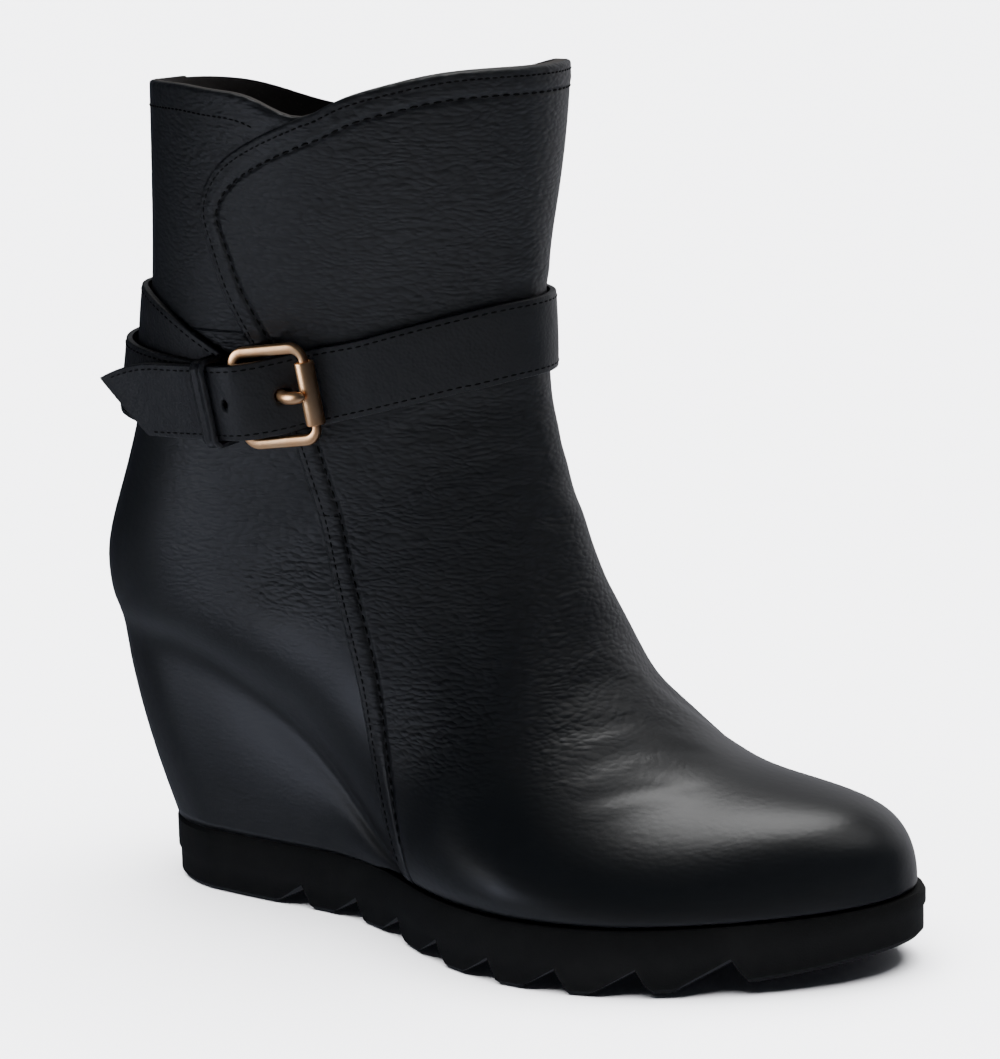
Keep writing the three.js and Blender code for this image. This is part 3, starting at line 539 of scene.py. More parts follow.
        def above(row: np.ndarray) -> np.ndarray:
            """Height over the collar's edge."""
            place = self.point(row, v)
            along = place[..., 0] / self.boot_length
            edge = np.where(v < 0.5, self.collar["outer"](along), self.collar["inner"](along))
            return place[..., 2] - edge * self.collar_height

        low = np.full(s.shape, float(self.shaft_row))
        collar = crossing(low, low * 0 + LAST_ROW, above)
        share = (s - self.shaft_row) / (LAST_ROW - self.shaft_row)
        return np.where(high, self.shaft_row + share * (collar - self.shaft_row), s)

    def lap_share(self, s: np.ndarray, side: Side) -> np.ndarray:
        """Share of the way round from a side's own edge to the front panel's edge.

        Args:
            s: rows of the table of sections.
            side: side of the foot.

        Returns:
            Shares, zero where the panel reaches the feather edge.
        """
        place = self.lap["outer" if side is Side.OUTER else "inner"]

        def ahead(share: np.ndarray) -> np.ndarray:
            """How far a point lies ahead of the panel's edge."""
            v = share if side is Side.OUTER else 1 - share
            spot = self.point(self.settle(s, v), v)
            return spot[..., 0] - place(spot[..., 2] / self.collar_height) * self.boot_length

        none = np.zeros_like(s)
        found = crossing(none, none + 0.5, ahead, 18)
        return np.where(ahead(none) > 0, 0, found)

    def shaft_point(self, turn: Any, height: Any, out: Any) -> tuple[np.ndarray, np.ndarray]:
        """Give points off the shaft at a height and a turn round it.

        Args:
            turn: turns counted from the back over the outer side.
            height: heights over the floor.
            out: distances off the surface.

        Returns:
            Points and normals.
        """
        turn, height, out = np.broadcast_arrays(*(np.asarray(a, float) for a in (turn, height, out)))
        v = turn - np.floor(turn)
        low = np.full(v.shape, float(self.ankle_row))
        s = crossing(low, low * 0 + LAST_ROW, lambda row: self.point(row, v)[..., 2] - height)
        normal = self.normal(s, v)
        return self.point(s, v) + normal * out[..., None], normal


LAST = Last()


@dataclass
class Grid:
    """Rows and columns of points, joined into quads."""

    points: np.ndarray
    closed: bool = False

    def faces(self, first: int = 0, flip: bool = False) -> list[tuple[int, ...]]:
        """List the grid's quads.

        Args:
            first: number of the grid's first vertex.
            flip: turn the faces over.

        Returns:
            Quads as vertex numbers.
        """
        high, wide = self.points.shape[:2]
        quads = []
        for i in range(high - 1):
            for j in range(wide if self.closed else wide - 1):
                a = first + i * wide + j
                b = first + i * wide + (j + 1) % wide
                quad = (a, b, b + wide, a + wide)
                quads.append(quad[::-1] if flip else quad)
        return quads


def shell(outer: np.ndarray, inner: np.ndarray) -> tuple[np.ndarray, list[tuple[int, ...]]]:
    """Close two grids of the same size into one solid sheet.

    Args:
        outer: points of the outer face, rows by columns.
        inner: points of the inner face.

    Returns:
        All the points and the faces.
    """
    high, wide = outer.shape[:2]
    start = high * wide
    faces = Grid(outer).faces() + Grid(inner).faces(start, flip=True)
    for i in range(high - 1):
        left, right = i * wide, i * wide + wide - 1
        faces.append((left, left + wide, start + left + wide, start + left))
        faces.append((right, start + right, start + right + wide, right + wide))
    for j in range(wide - 1):
        low, top = j, (high - 1) * wide + j
        faces.append((low, start + low, start + low + 1, low + 1))
        faces.append((top, top + 1, start + top + 1, start + top))
    return np.concatenate([outer.reshape(-1, 3), inner.reshape(-1, 3)]), faces


def make_piece(
    name: str,
    points: np.ndarray,
    faces: list[tuple[int, ...]],
    finish: bpy.types.Material,
    floats: dict[str, np.ndarray] | None = None,
    weld: float = 0.002,
    outward: bool = False,
    sharp: float = 35.0,
) -> bpy.types.Object:
    """Make a mesh object with its place in its mesh.

    Args:
        name: the piece's name.
        points: its points in millimetres from the back of the heel.
        faces: faces as vertex numbers.
        finish: its material.
        floats: values for each point that the material reads.
        weld: distance in millimetres under which points are merged, or zero.
        outward: work the faces' directions out again.
        sharp: angle in degrees past which an edge is shaded sharp.

    Returns:
        The object, linked to the scene.
    """
    mesh = bpy.data.meshes.new(name)
    mesh.from_pydata(row_frame(points).tolist(), [], faces)
    for key, values in (floats or {}).items():
        layer = mesh.attributes.new(key, "FLOAT", "POINT")
        layer.data.foreach_set("value", np.asarray(values, np.float32).ravel())
    body = bmesh.new()
    body.from_mesh(mesh)
    if weld:
        bmesh.ops.remove_doubles(body, verts=body.verts, dist=weld * MM)
    bmesh.ops.dissolve_degenerate(body, dist=1e-7, edges=body.edges)
    if outward:
        bmesh.ops.recalc_face_normals(body, faces=body.faces)
    body.to_mesh(mesh)
    body.free()
    mesh.polygons.foreach_set("use_smooth", [True] * len(mesh.polygons))
    mesh.set_sharp_from_angle(angle=math.radians(sharp))
    mesh.materials.append(finish)
    piece = bpy.data.objects.new(name, mesh)
    bpy.context.collection.objects.link(piece)
    return piece


def bake_modifiers(piece: bpy.types.Object) -> None:
    """Apply a piece's modifiers to its mesh and remove them."""
    graph = bpy.context.evaluated_depsgraph_get()
    made = bpy.data.meshes.new_from_object(piece.evaluated_get(graph))
    piece.modifiers.clear()
    piece.data = made


def settle_piece(piece: bpy.types.Object, slot: str, *nodes: str) -> None:
    """Ride a piece on the boot's body, hide the CAD nodes it stands for and log it.

    Args:
        piece: the finished object.
        slot: the record's material slot; not used.
        nodes: CAD nodes that it stands for.
    """
    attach(piece, BODY)
    if nodes:
        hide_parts(*nodes)
    log.info("%s: %d faces", piece.name, len(piece.data.polygons))


def along_line(points: np.ndarray, pitch: float, margin: float = 0.0) -> tuple[np.ndarray, np.ndarray]:
    """Space places evenly along a line of points.

    Args:
        points: the line, in millimetres.
        pitch: distance from place to place.
        margin: length left free at each end.

    Returns:
        The places and the line's directions there.
    """
    steps = np.linalg.norm(np.diff(points, axis=0), axis=1)
    run = np.concatenate([[0], np.cumsum(steps)])
    count = max(int((run[-1] - 2 * margin) / pitch), 1)
    at = margin + (np.arange(count) + 0.5) * (run[-1] - 2 * margin) / count
    places = np.stack([np.interp(at, run, points[:, k]) for k in range(3)], axis=1)
    small = pitch / 4
    ahead = np.stack([np.interp(at + small, run, points[:, k]) for k in range(3)], axis=1)
    behind = np.stack([np.interp(at - small, run, points[:, k]) for k in range(3)], axis=1)
    return places, unit(ahead - behind)


def add_node(tree: bpy.types.NodeTree, kind: str, settings: dict[str, Any] | None = None,
             sockets: dict[Any, Any] | None = None) -> bpy.types.Node:
    """Add a node with its settings, its values and its links.

    Args:
        tree: the node tree.
        kind: the node's type.
        settings: properties to set on the node.
        sockets: input values by name or number; an output socket is linked.

    Returns:
        The node.
    """
    node = tree.nodes.new(kind)
    for key, value in (settings or {}).items():
        setattr(node, key, value)
    for key, value in (sockets or {}).items():
        if isinstance(value, bpy.types.NodeSocket):
            tree.links.new(value, node.inputs[key])
        else:
            node.inputs[key].default_value = value
    return node


def blank_material(name: str) -> tuple[bpy.types.Material, bpy.types.NodeTree, bpy.types.Node,
                                       bpy.types.NodeSocket]:
    """Make a material with one principled shader, laid out on Object coordinates.

    Args:
        name: the material's name.

    Returns:
        The material, its tree, its shader and the socket of the coordinates.
    """
    material = bpy.data.materials.new(name)
    material.use_nodes = True
    tree = material.node_tree
    tree.nodes.clear()
    shader = add_node(tree, "ShaderNodeBsdfPrincipled")
    add_node(tree, "ShaderNodeOutputMaterial", {}, {"Surface": shader.outputs[0]})
    return material, tree, shader, add_node(tree, "ShaderNodeTexCoord").outputs["Object"]


def math_node(tree: bpy.types.NodeTree, work: str, *values: Any) -> bpy.types.NodeSocket:
    """Add a sum and give its result.

    Args:
        tree: the node tree.
        work: the kind of sum.
        values: numbers or sockets.

    Returns:
        The output socket.
    """
    node = add_node(tree, "ShaderNodeMath", {"operation": work}, dict(enumerate(values)))
    return node.outputs[0]


def attribute(tree: bpy.types.NodeTree, name: str) -> bpy.types.NodeSocket:
    """Read a value stored on the mesh's points."""
    return add_node(tree, "ShaderNodeAttribute", {"attribute_name": name}).outputs["Fac"]


def per_metre(size_mm: float) -> float:
    """Scale of a pattern on Object coordinates whose repeat is a size in millimetres."""
    return 1 / (size_mm * MM)


@dataclass(frozen=True)
class BootLeather:
    """Full-grain cowhide, aniline dyed near black and waxed: soft sheen over a pebbled grain."""

    name: str = "waxed_black_cowhide"
    colour: str = "0b0d10"
    worn: str = "12151a"
    roughness: float = 0.32
    grain_dull: float = 0.14
    pebble_mm: float = 1.25
    crease_mm: float = 2.6
    pore_mm: float = 0.8
    pore_share: float = 0.05
    depth_mm: float = 0.25
    groove_mm: float = 6.5
    groove_wide_mm: float = 0.8

    def material(self) -> bpy.types.Material:
        """Build the nodes: grain, creases and pores in the bump, worn colour on the high spots."""
        material, tree, shader, place = blank_material(self.name)
        lie = add_node(tree, "ShaderNodeMapping", {}, {
            "Vector": place, "Rotation": (0.0, math.radians(14), 0.0), "Scale": (0.55, 0.55, 1.3)})
        drift = add_node(tree, "ShaderNodeTexNoise", {}, {
            "Vector": lie.outputs[0], "Scale": per_metre(9), "Detail": 2.0})
        bent = add_node(tree, "ShaderNodeMix", {"data_type": "VECTOR"}, {
            0: 0.0035, 4: lie.outputs[0], 5: drift.outputs["Color"]})
        pebble = add_node(tree, "ShaderNodeTexVoronoi", {"feature": "SMOOTH_F1"}, {
            "Vector": bent.outputs[1], "Scale": per_metre(self.pebble_mm), "Smoothness": 0.35})
        crease = add_node(tree, "ShaderNodeTexNoise", {"noise_type": "RIDGED_MULTIFRACTAL"}, {
            "Vector": bent.outputs[1], "Scale": per_metre(self.crease_mm), "Detail": 3.0})
        pore = add_node(tree, "ShaderNodeTexNoise", {}, {
            "Vector": place, "Scale": per_metre(self.pore_mm), "Detail": 1.0})
        patch = add_node(tree, "ShaderNodeTexNoise", {}, {
            "Vector": place, "Scale": per_metre(26), "Detail": 3.0})
        grain = attribute(tree, "grain")
        mottled = math_node(tree, "MULTIPLY", grain, math_node(
            tree, "MULTIPLY_ADD", patch.outputs["Fac"], 0.9, 0.45))
        bumps = math_node(tree, "MULTIPLY", mottled, math_node(
            tree, "MULTIPLY_ADD", pebble.outputs["Distance"], -1.0, crease.outputs["Fac"]))
        fine = math_node(tree, "MULTIPLY_ADD", pore.outputs["Fac"], self.pore_share, bumps)
        aside = math_node(tree, "DIVIDE", math_node(
            tree, "SUBTRACT", attribute(tree, "edge_mm"), self.groove_mm), self.groove_wide_mm)
        groove = math_node(tree, "EXPONENT", math_node(
            tree, "MULTIPLY", math_node(tree, "MULTIPLY", aside, aside), -1.0))
        step = add_node(tree, "ShaderNodeMapRange", {"interpolation_type": "SMOOTHSTEP"}, {
            "Value": attribute(tree, "panel_mm"), "From Min": -0.5, "From Max": 0.5})
        stepped = math_node(tree, "MULTIPLY_ADD", step.outputs[0], 2.6, fine)
        height = math_node(tree, "MULTIPLY_ADD", groove, -2.2, stepped)
        bump = add_node(tree, "ShaderNodeBump", {}, {
            "Height": height, "Distance": self.depth_mm * MM, "Strength": 1.0})
        high = math_node(tree, "MULTIPLY", math_node(
            tree, "SUBTRACT", 0.75, pebble.outputs["Distance"]), grain)
        wear = add_node(tree, "ShaderNodeMix", {"data_type": "RGBA"}, {
            0: high, 6: linear(self.colour), 7: linear(self.worn)})
        rough = add_node(tree, "ShaderNodeMapRange", {}, {
            "Value": patch.outputs["Fac"], "To Min": self.roughness - 0.03, "To Max": self.roughness + 0.04})
        dull = math_node(tree, "MULTIPLY_ADD", grain, self.grain_dull, rough.outputs[0])
        tree.links.new(wear.outputs[2], shader.inputs["Base Color"])
        tree.links.new(dull, shader.inputs["Roughness"])
        tree.links.new(bump.outputs[0], shader.inputs["Normal"])
        shader.inputs["IOR"].default_value = 1.5
        shader.inputs["Specular IOR Level"].default_value = 0.5
        return material


@dataclass(frozen=True)
class StrapLeather:
    """Split cowhide with a smooth plated face: finer and more even than the upper's."""

    name: str = "plated_strap_leather"
    colour: str = "0d0f13"
    roughness: float = 0.44
    grain_mm: float = 0.9
    depth_mm: float = 0.09

    def material(self) -> bpy.types.Material:
        """Build the nodes: an even fine grain with a slow change of polish."""
        material, tree, shader, place = blank_material(self.name)
        grain = add_node(tree, "ShaderNodeTexVoronoi", {"feature": "SMOOTH_F1"}, {
            "Vector": place, "Scale": per_metre(self.grain_mm), "Smoothness": 0.4})
        slow = add_node(tree, "ShaderNodeTexNoise", {}, {
            "Vector": place, "Scale": per_metre(6), "Detail": 4.0})
        height = math_node(tree, "MULTIPLY_ADD", slow.outputs["Fac"], 3.0, grain.outputs["Distance"])
        bump = add_node(tree, "ShaderNodeBump", {}, {
            "Height": height, "Distance": self.depth_mm * MM, "Strength": 1.0})
        polish = add_node(tree, "ShaderNodeMapRange", {}, {
            "Value": slow.outputs["Fac"], "To Min": self.roughness - 0.08, "To Max": self.roughness + 0.08})
        tree.links.new(polish.outputs[0], shader.inputs["Roughness"])
        tree.links.new(bump.outputs[0], shader.inputs["Normal"])
        shader.inputs["Base Color"].default_value = linear(self.colour)
        return material


@dataclass(frozen=True)
class LiningLeather:
    """Unpolished pigskin lining: flat, warm dark grey with small pores."""

    name: str = "pigskin_lining"
    colour: str = "46423f"
    roughness: float = 0.75
    pore_mm: float = 1.1

    def material(self) -> bpy.types.Material:
        """Build the nodes: small pits over a slow change of colour."""
        material, tree, shader, place = blank_material(self.name)
        pores = add_node(tree, "ShaderNodeTexVoronoi", {}, {
            "Vector": place, "Scale": per_metre(self.pore_mm)})
        pits = math_node(tree, "LESS_THAN", pores.outputs["Distance"], 0.22)
        shade = add_node(tree, "ShaderNodeTexNoise", {}, {
            "Vector": place, "Scale": per_metre(14), "Detail": 3.0})
        bump = add_node(tree, "ShaderNodeBump", {}, {
            "Height": math_node(tree, "MULTIPLY", pits, -1.0), "Distance": 0.1 * MM, "Strength": 0.6})
        colour = add_node(tree, "ShaderNodeMix", {"data_type": "RGBA"}, {
            0: shade.outputs["Fac"], 6: linear(self.colour), 7: linear("55504c")})
        tree.links.new(colour.outputs[2], shader.inputs["Base Color"])
        tree.links.new(bump.outputs[0], shader.inputs["Normal"])
        shader.inputs["Roughness"].default_value = self.roughness
        return material


@dataclass(frozen=True)
class SoleRubber:
    """Compression-moulded nitrile rubber: matte, with the fine spark texture of its mould."""

    name: str = "moulded_black_rubber"
    colour: str = "070808"
    dust: str = "101111"
    roughness: float = 0.72
    shine: float = 0.3
    texture_mm: float = 0.5

    def material(self) -> bpy.types.Material:
        """Build the nodes: spark texture in the bump and a little dust in patches."""
        material, tree, shader, place = blank_material(self.name)
        spark = add_node(tree, "ShaderNodeTexNoise", {}, {
            "Vector": place, "Scale": per_metre(self.texture_mm), "Detail": 4.0})
        dusty = add_node(tree, "ShaderNodeTexNoise", {}, {
            "Vector": place, "Scale": per_metre(18), "Detail": 5.0})
        share = add_node(tree, "ShaderNodeMapRange", {}, {
            "Value": dusty.outputs["Fac"], "From Min": 0.5, "From Max": 0.8, "To Max": 0.5})
        colour = add_node(tree, "ShaderNodeMix", {"data_type": "RGBA"}, {
            0: share.outputs[0], 6: linear(self.colour), 7: linear(self.dust)})
        bump = add_node(tree, "ShaderNodeBump", {}, {
            "Height": spark.outputs["Fac"], "Distance": 0.12 * MM, "Strength": 0.7})
        rough = add_node(tree, "ShaderNodeMapRange", {}, {
            "Value": dusty.outputs["Fac"], "To Min": self.roughness - 0.08, "To Max": self.roughness + 0.1})
        tree.links.new(colour.outputs[2], shader.inputs["Base Color"])
        tree.links.new(rough.outputs[0], shader.inputs["Roughness"])
        tree.links.new(bump.outputs[0], shader.inputs["Normal"])
        shader.inputs["Specular IOR Level"].default_value = self.shine
        return material


@dataclass(frozen=True)
class RoseBrass:
    """Cast brass plated in rose gold and tumbled: a satin metal with darker patches."""

    name: str = "satin_rose_brass"
    colour: str = "f6ca9c"
    worn: str = "e6b080"
    roughness: float = 0.36
    lap_mm: float = 0.7

    def material(self) -> bpy.types.Material:
        """Build the nodes: tumbled roughness and a slow change of the plating's colour."""
        material, tree, shader, place = blank_material(self.name)
        cloud = add_node(tree, "ShaderNodeTexNoise", {}, {
            "Vector": place, "Scale": per_metre(5), "Detail": 5.0})
        scuff = add_node(tree, "ShaderNodeTexNoise", {}, {
            "Vector": place, "Scale": per_metre(self.lap_mm), "Detail": 3.0})
        share = add_node(tree, "ShaderNodeMapRange", {}, {
            "Value": cloud.outputs["Fac"], "From Min": 0.35, "From Max": 0.75})
        colour = add_node(tree, "ShaderNodeMix", {"data_type": "RGBA"}, {
            0: share.outputs[0], 6: linear(self.colour), 7: linear(self.worn)})
        rough = add_node(tree, "ShaderNodeMapRange", {}, {
            "Value": cloud.outputs["Fac"], "To Min": self.roughness - 0.06, "To Max": self.roughness + 0.1})
        bump = add_node(tree, "ShaderNodeBump", {}, {
            "Height": scuff.outputs["Fac"], "Distance": 0.02 * MM, "Strength": 0.6})
        tree.links.new(colour.outputs[2], shader.inputs["Base Color"])
        tree.links.new(rough.outputs[0], shader.inputs["Roughness"])
        tree.links.new(bump.outputs[0], shader.inputs["Normal"])
        shader.inputs["Metallic"].default_value = 1.0
        return material


@dataclass(frozen=True)
class BondedThread:
    """Bonded nylon thread, black: three plies whose twist is drawn twice as coarse to show."""

    name: str = "bonded_black_thread"
    colour: str = "050506"
    roughness: float = 0.8
    shine: float = 0.15
    twist_mm: float = 0.5

    def material(self) -> bpy.types.Material:
        """Build the nodes: slanting bands for the plies."""
        material, tree, shader, place = blank_material(self.name)
        plies = add_node(tree, "ShaderNodeTexWave", {"bands_direction": "DIAGONAL"}, {
            "Vector": place, "Scale": per_metre(self.twist_mm) / math.tau})
        bump = add_node(tree, "ShaderNodeBump", {}, {
            "Height": plies.outputs["Fac"], "Distance": 0.08 * MM, "Strength": 0.8})
        tree.links.new(bump.outputs[0], shader.inputs["Normal"])
        shader.inputs["Base Color"].default_value = linear(self.colour)
        shader.inputs["Roughness"].default_value = self.roughness
        shader.inputs["Specular IOR Level"].default_value = self.shine
        return material


@dataclass(frozen=True)
class PaperSweep:
    """Matte white paper of a studio floor."""

    name: str = "studio_paper"
    colour: str = "e9e9ec"

    def material(self) -> bpy.types.Material:
        """Build the nodes: a plain matte colour with a trace of mottling."""
        material, tree, shader, place = blank_material(self.name)
        fibre = add_node(tree, "ShaderNodeTexNoise", {}, {"Vector": place, "Scale": per_metre(60)})
        colour = add_node(tree, "ShaderNodeMix", {"data_type": "RGBA"}, {
            0: fibre.outputs["Fac"], 6: linear(self.colour), 7: linear("e6e6ea")})
        tree.links.new(colour.outputs[2], shader.inputs["Base Color"])
        shader.inputs["Roughness"].default_value = 0.9
        return material


def distance_to(points: np.ndarray, line: np.ndarray) -> np.ndarray:
    """Measure how far points are from a line.

    Args:
        points: the points, in any shape with x, y, z last.
        line: the line's corners.

    Returns:
        The smallest distances.
    """
    flat = points.reshape(-1, 3)
    start, step = line[:-1], np.diff(line, axis=0)
    length = np.maximum((step ** 2).sum(axis=1), 1e-9)
    found = []
    for part in np.array_split(flat, max(len(flat) // 1500, 1)):
        offset = part[:, None] - start
        share = np.clip((offset * step).sum(axis=2) / length, 0, 1)
        gap = offset - share[..., None] * step
        found.append(np.sqrt((gap ** 2).sum(axis=2).min(axis=1)))
    return np.concatenate(found).reshape(points.shape[:-1])


def smooth_step(values: Any) -> np.ndarray:
    """Ease values from zero to one."""
    share = np.clip(values, 0, 1)
    return share * share * (3 - 2 * share)


def section_rows(first: float, per_section: float) -> np.ndarray:
    """Space rows over the table of sections, closer where the heel turns.

    Args:
        first: the first row.
        per_section: rows for each section.

    Returns:
        Rows from the first to the last section.
    """
    turn = LAST.rear_row - 1
    below = np.linspace(first, turn, int((turn - first) * per_section), endpoint=False)
    heel = LAST.rear_row - np.linspace(1, 0, int(2 * per_section), endpoint=False) ** 2
    above = np.linspace(LAST.rear_row, LAST_ROW, int((LAST_ROW - LAST.rear_row) * per_section) + 1)
    return np.concatenate([below, heel, above])


@dataclass(frozen=True)
class Crease:
    """A soft fold worn into the upper: a trough with a low ridge on each side.

    The ends are given as a row of the sections and a share of the way round.
    """

    start: tuple[float, float]
    end: tuple[float, float]
    wide: float
    deep: float
    bow: float = 0.0

    def line(self) -> np.ndarray:
        """Points along the fold on the last's surface."""
        share = np.linspace(0, 1, 24)
        s = self.start[0] + (self.end[0] - self.start[0]) * share
        v = self.start[1] + (self.end[1] - self.start[1]) * share
        return LAST.point(s + self.bow * np.sin(math.pi * share), v)

    def height(self, points: np.ndarray) -> np.ndarray:
        """Give how far the surface is lifted at points.

        Args:
            points: points of the last's surface.

        Returns:
            Millimetres, below zero in the trough.
        """
        line = self.line()
        near = distance_to(points, line) / self.wide
        reach = np.linalg.norm(line[-1] - line[0]) / 2
        middle = (line[-1] + line[0]) / 2
        fade = smooth_step(1.25 - np.linalg.norm(points - middle, axis=-1) / max(reach, 1) * 0.8)
        return self.deep * fade * (0.55 * np.exp(-(near - 1.7) ** 2) - np.exp(-near ** 2))


@dataclass
class FrontPanel:
    """The upper's front: vamp and shaft in one piece, lapped over the rear with two rows of stitches."""

    finish: bpy.types.Material
    step: float = 1.3
    edge_raise: float = 0.12
    edge_round: float = 1.1
    under_raise: float = 0.03
    puff: float = 0.22
    rows_inset: tuple[float, float] = (2.05, 6.5)
    per_section: float = 9.0
    middle_columns: int = 128
    edge_steps: tuple[float, ...] = (0.0, 0.1, 0.3, 0.6, 1.1, 2.0, 3.2, 4.6)
    creases: tuple[Crease, ...] = ()
    sole_drop: float = 0.28
    toe_row: float = 0.03

    def __post_init__(self) -> None:
        """Trace the panel's free edge: both laps and the collar between them."""
        s = np.linspace(0, LAST_ROW, 260)
        parts = []
        for side in Side:
            lap = LAST.lap_share(s, side)
            v = lap if side is Side.OUTER else 1 - lap
            free = lap > 0
            parts.append((s[free], v[free]))
        (outer_s, outer_v), (inner_s, inner_v) = parts
        across = np.linspace(outer_v[-1], inner_v[-1], 120)
        s = np.concatenate([outer_s, np.full(120, float(LAST_ROW)), inner_s[::-1]])
        v = np.concatenate([outer_v, across, inner_v[::-1]])
        self.edge = self.base(s, v)
        low = np.linspace(0, outer_s[0], 90)
        self.feather = [LAST.point(low, 0.0), LAST.point(np.linspace(0, inner_s[0], 90), 1.0)]

    @staticmethod
    def base(s: np.ndarray, v: np.ndarray) -> np.ndarray:
        """Points of the last's surface with the collar's edge followed."""
        return LAST.point(LAST.settle(s, v), v)

    def rim(self, distance: np.ndarray) -> np.ndarray:
        """Height of the panel's rounded edge at a distance in from it."""
        near = 1 - np.clip(distance / self.edge_round, 0, 1)
        return self.edge_raise + (self.step - self.edge_raise) * np.sqrt(1 - near ** 2)

    def surface(self, s: np.ndarray, v: np.ndarray) -> tuple[np.ndarray, np.ndarray, np.ndarray]:
        """Give the panel's outer face.

        Args:
            s: rows of the table of sections.
            v: shares of the way round.

        Returns:
            Points, normals and distances in from the free edge.
        """
        at = LAST.settle(s, v)
        base = LAST.point(at, v)
        normal = LAST.normal(at, v)
        free = distance_to(base, self.edge)
        foot = np.minimum(distance_to(base, self.feather[0]), distance_to(base, self.feather[1]))
        lift = self.rim(np.minimum(free, foot))
        near, far = self.rows_inset
        between = np.clip((free - near) / (far - near), 0, 1)
        lift = lift + self.puff * np.sin(math.pi * between) ** 2
        worn = np.zeros_like(free)
        for crease in self.creases:
            worn += crease.height(base)
        lift = np.maximum(lift + worn * smooth_step(free / 8), self.edge_raise)
        return base + normal * lift[..., None], normal, free

    def offset_row(self, inset: float) -> tuple[np.ndarray, np.ndarray]:
        """Trace a row of stitches at a distance in from the panel's free edge.

        Args:
            inset: the distance in millimetres.

        Returns:
            Points along the row and the surface's normals.
        """
        parts = []
        s = np.linspace(8.0, LAST_ROW, 220)
        for side in Side:
            lap = LAST.lap_share(s, side)
            sign = 1 if side is Side.OUTER else -1
            origin = lap if side is Side.OUTER else 1 - lap

            def over(share: np.ndarray) -> np.ndarray:
                """How much further in than the row a point lies."""
                return distance_to(self.base(s, origin + sign * share), self.edge) - inset

            room = np.full_like(s, 0.3)
            share = crossing(np.zeros_like(s), room, over, ROW_ROUNDS)
            good = (lap > 0) & (np.abs(over(share)) < ROW_MISS)
            parts.append(np.stack([s[good], (origin + sign * share)[good]], axis=1))
        outer, inner = parts
        v = np.linspace(outer[-1, 1], inner[-1, 1], 160)
        top = np.full_like(v, float(LAST_ROW))

        def under(drop: np.ndarray) -> np.ndarray:
            """How much further down than the row a point lies."""
            return distance_to(self.base(top - drop, v), self.edge) - inset

        drop = crossing(np.zeros_like(v), np.full_like(v, ROW_SEARCH), under, ROW_ROUNDS)
        good = np.abs(under(drop)) < ROW_MISS
        front = np.stack([(top - drop)[good], v[good]], axis=1)
        route = np.concatenate([outer, front, inner[::-1]])
        points, normal, _ = self.surface(route[:, 0], route[:, 1])
        return points, normal

    def build(self) -> bpy.types.Object:
        """Make the panel as a closed sheet."""
        rows = np.unique(np.concatenate([
            section_rows(0.0, self.per_section), [self.toe_row], LAST_ROW - np.array(NEAR_COLLAR)]))
        steps = np.array(self.edge_steps)
        lap = {side: LAST.lap_share(rows, side) for side in Side}
        small = 0.004
        pace = {}
        for side in Side:
            v = lap[side] if side is Side.OUTER else 1 - lap[side]
            ahead = v + small if side is Side.OUTER else v - small
            run = np.linalg.norm(self.base(rows, ahead) - self.base(rows, v), axis=1)
            pace[side] = np.minimum(small / np.maximum(run, 1e-4), 0.05 / steps[-1])
        left = lap[Side.OUTER][:, None] + pace[Side.OUTER][:, None] * steps
        right = 1 - lap[Side.INNER][:, None] - pace[Side.INNER][:, None] * steps[::-1]
        share = np.linspace(0, 1, self.middle_columns + 2)[1:-1]
        middle = left[:, -1:] + (right[:, :1] - left[:, -1:]) * share
        v = np.concatenate([left, middle, right], axis=1)
        s = np.broadcast_to(rows[:, None], v.shape)
        outer, normal, free = self.surface(s, v)
        at = LAST.settle(s, v)
        inner = LAST.point(at, v) + normal * self.under_raise
        for column in (0, -1):
            foot = (lap[Side.OUTER if column == 0 else Side.INNER] <= 0)
            outer[foot, column, 2] -= self.sole_drop
            inner[foot, column, 2] -= self.sole_drop
        points, faces = shell(outer, inner)
        values = {
            "edge_mm": np.concatenate([free.ravel(), free.ravel()]),
            "grain": np.tile(self.grain(outer).ravel(), 2),
            "panel_mm": np.full(len(points), 9.0),
        }
        piece = make_piece("front_panel", points, faces, self.finish, values)
        settle_piece(piece, "upper", "upper")
        return piece

    @staticmethod
    def grain(points: np.ndarray) -> np.ndarray:
        """Share of pebbled grain: full on shaft and instep, little on the pulled toe."""
        along = smooth_step((196 - points[..., 0]) / 55)
        up = smooth_step((points[..., 2] - 34) / 26)
        return np.maximum(0.12, along * up)


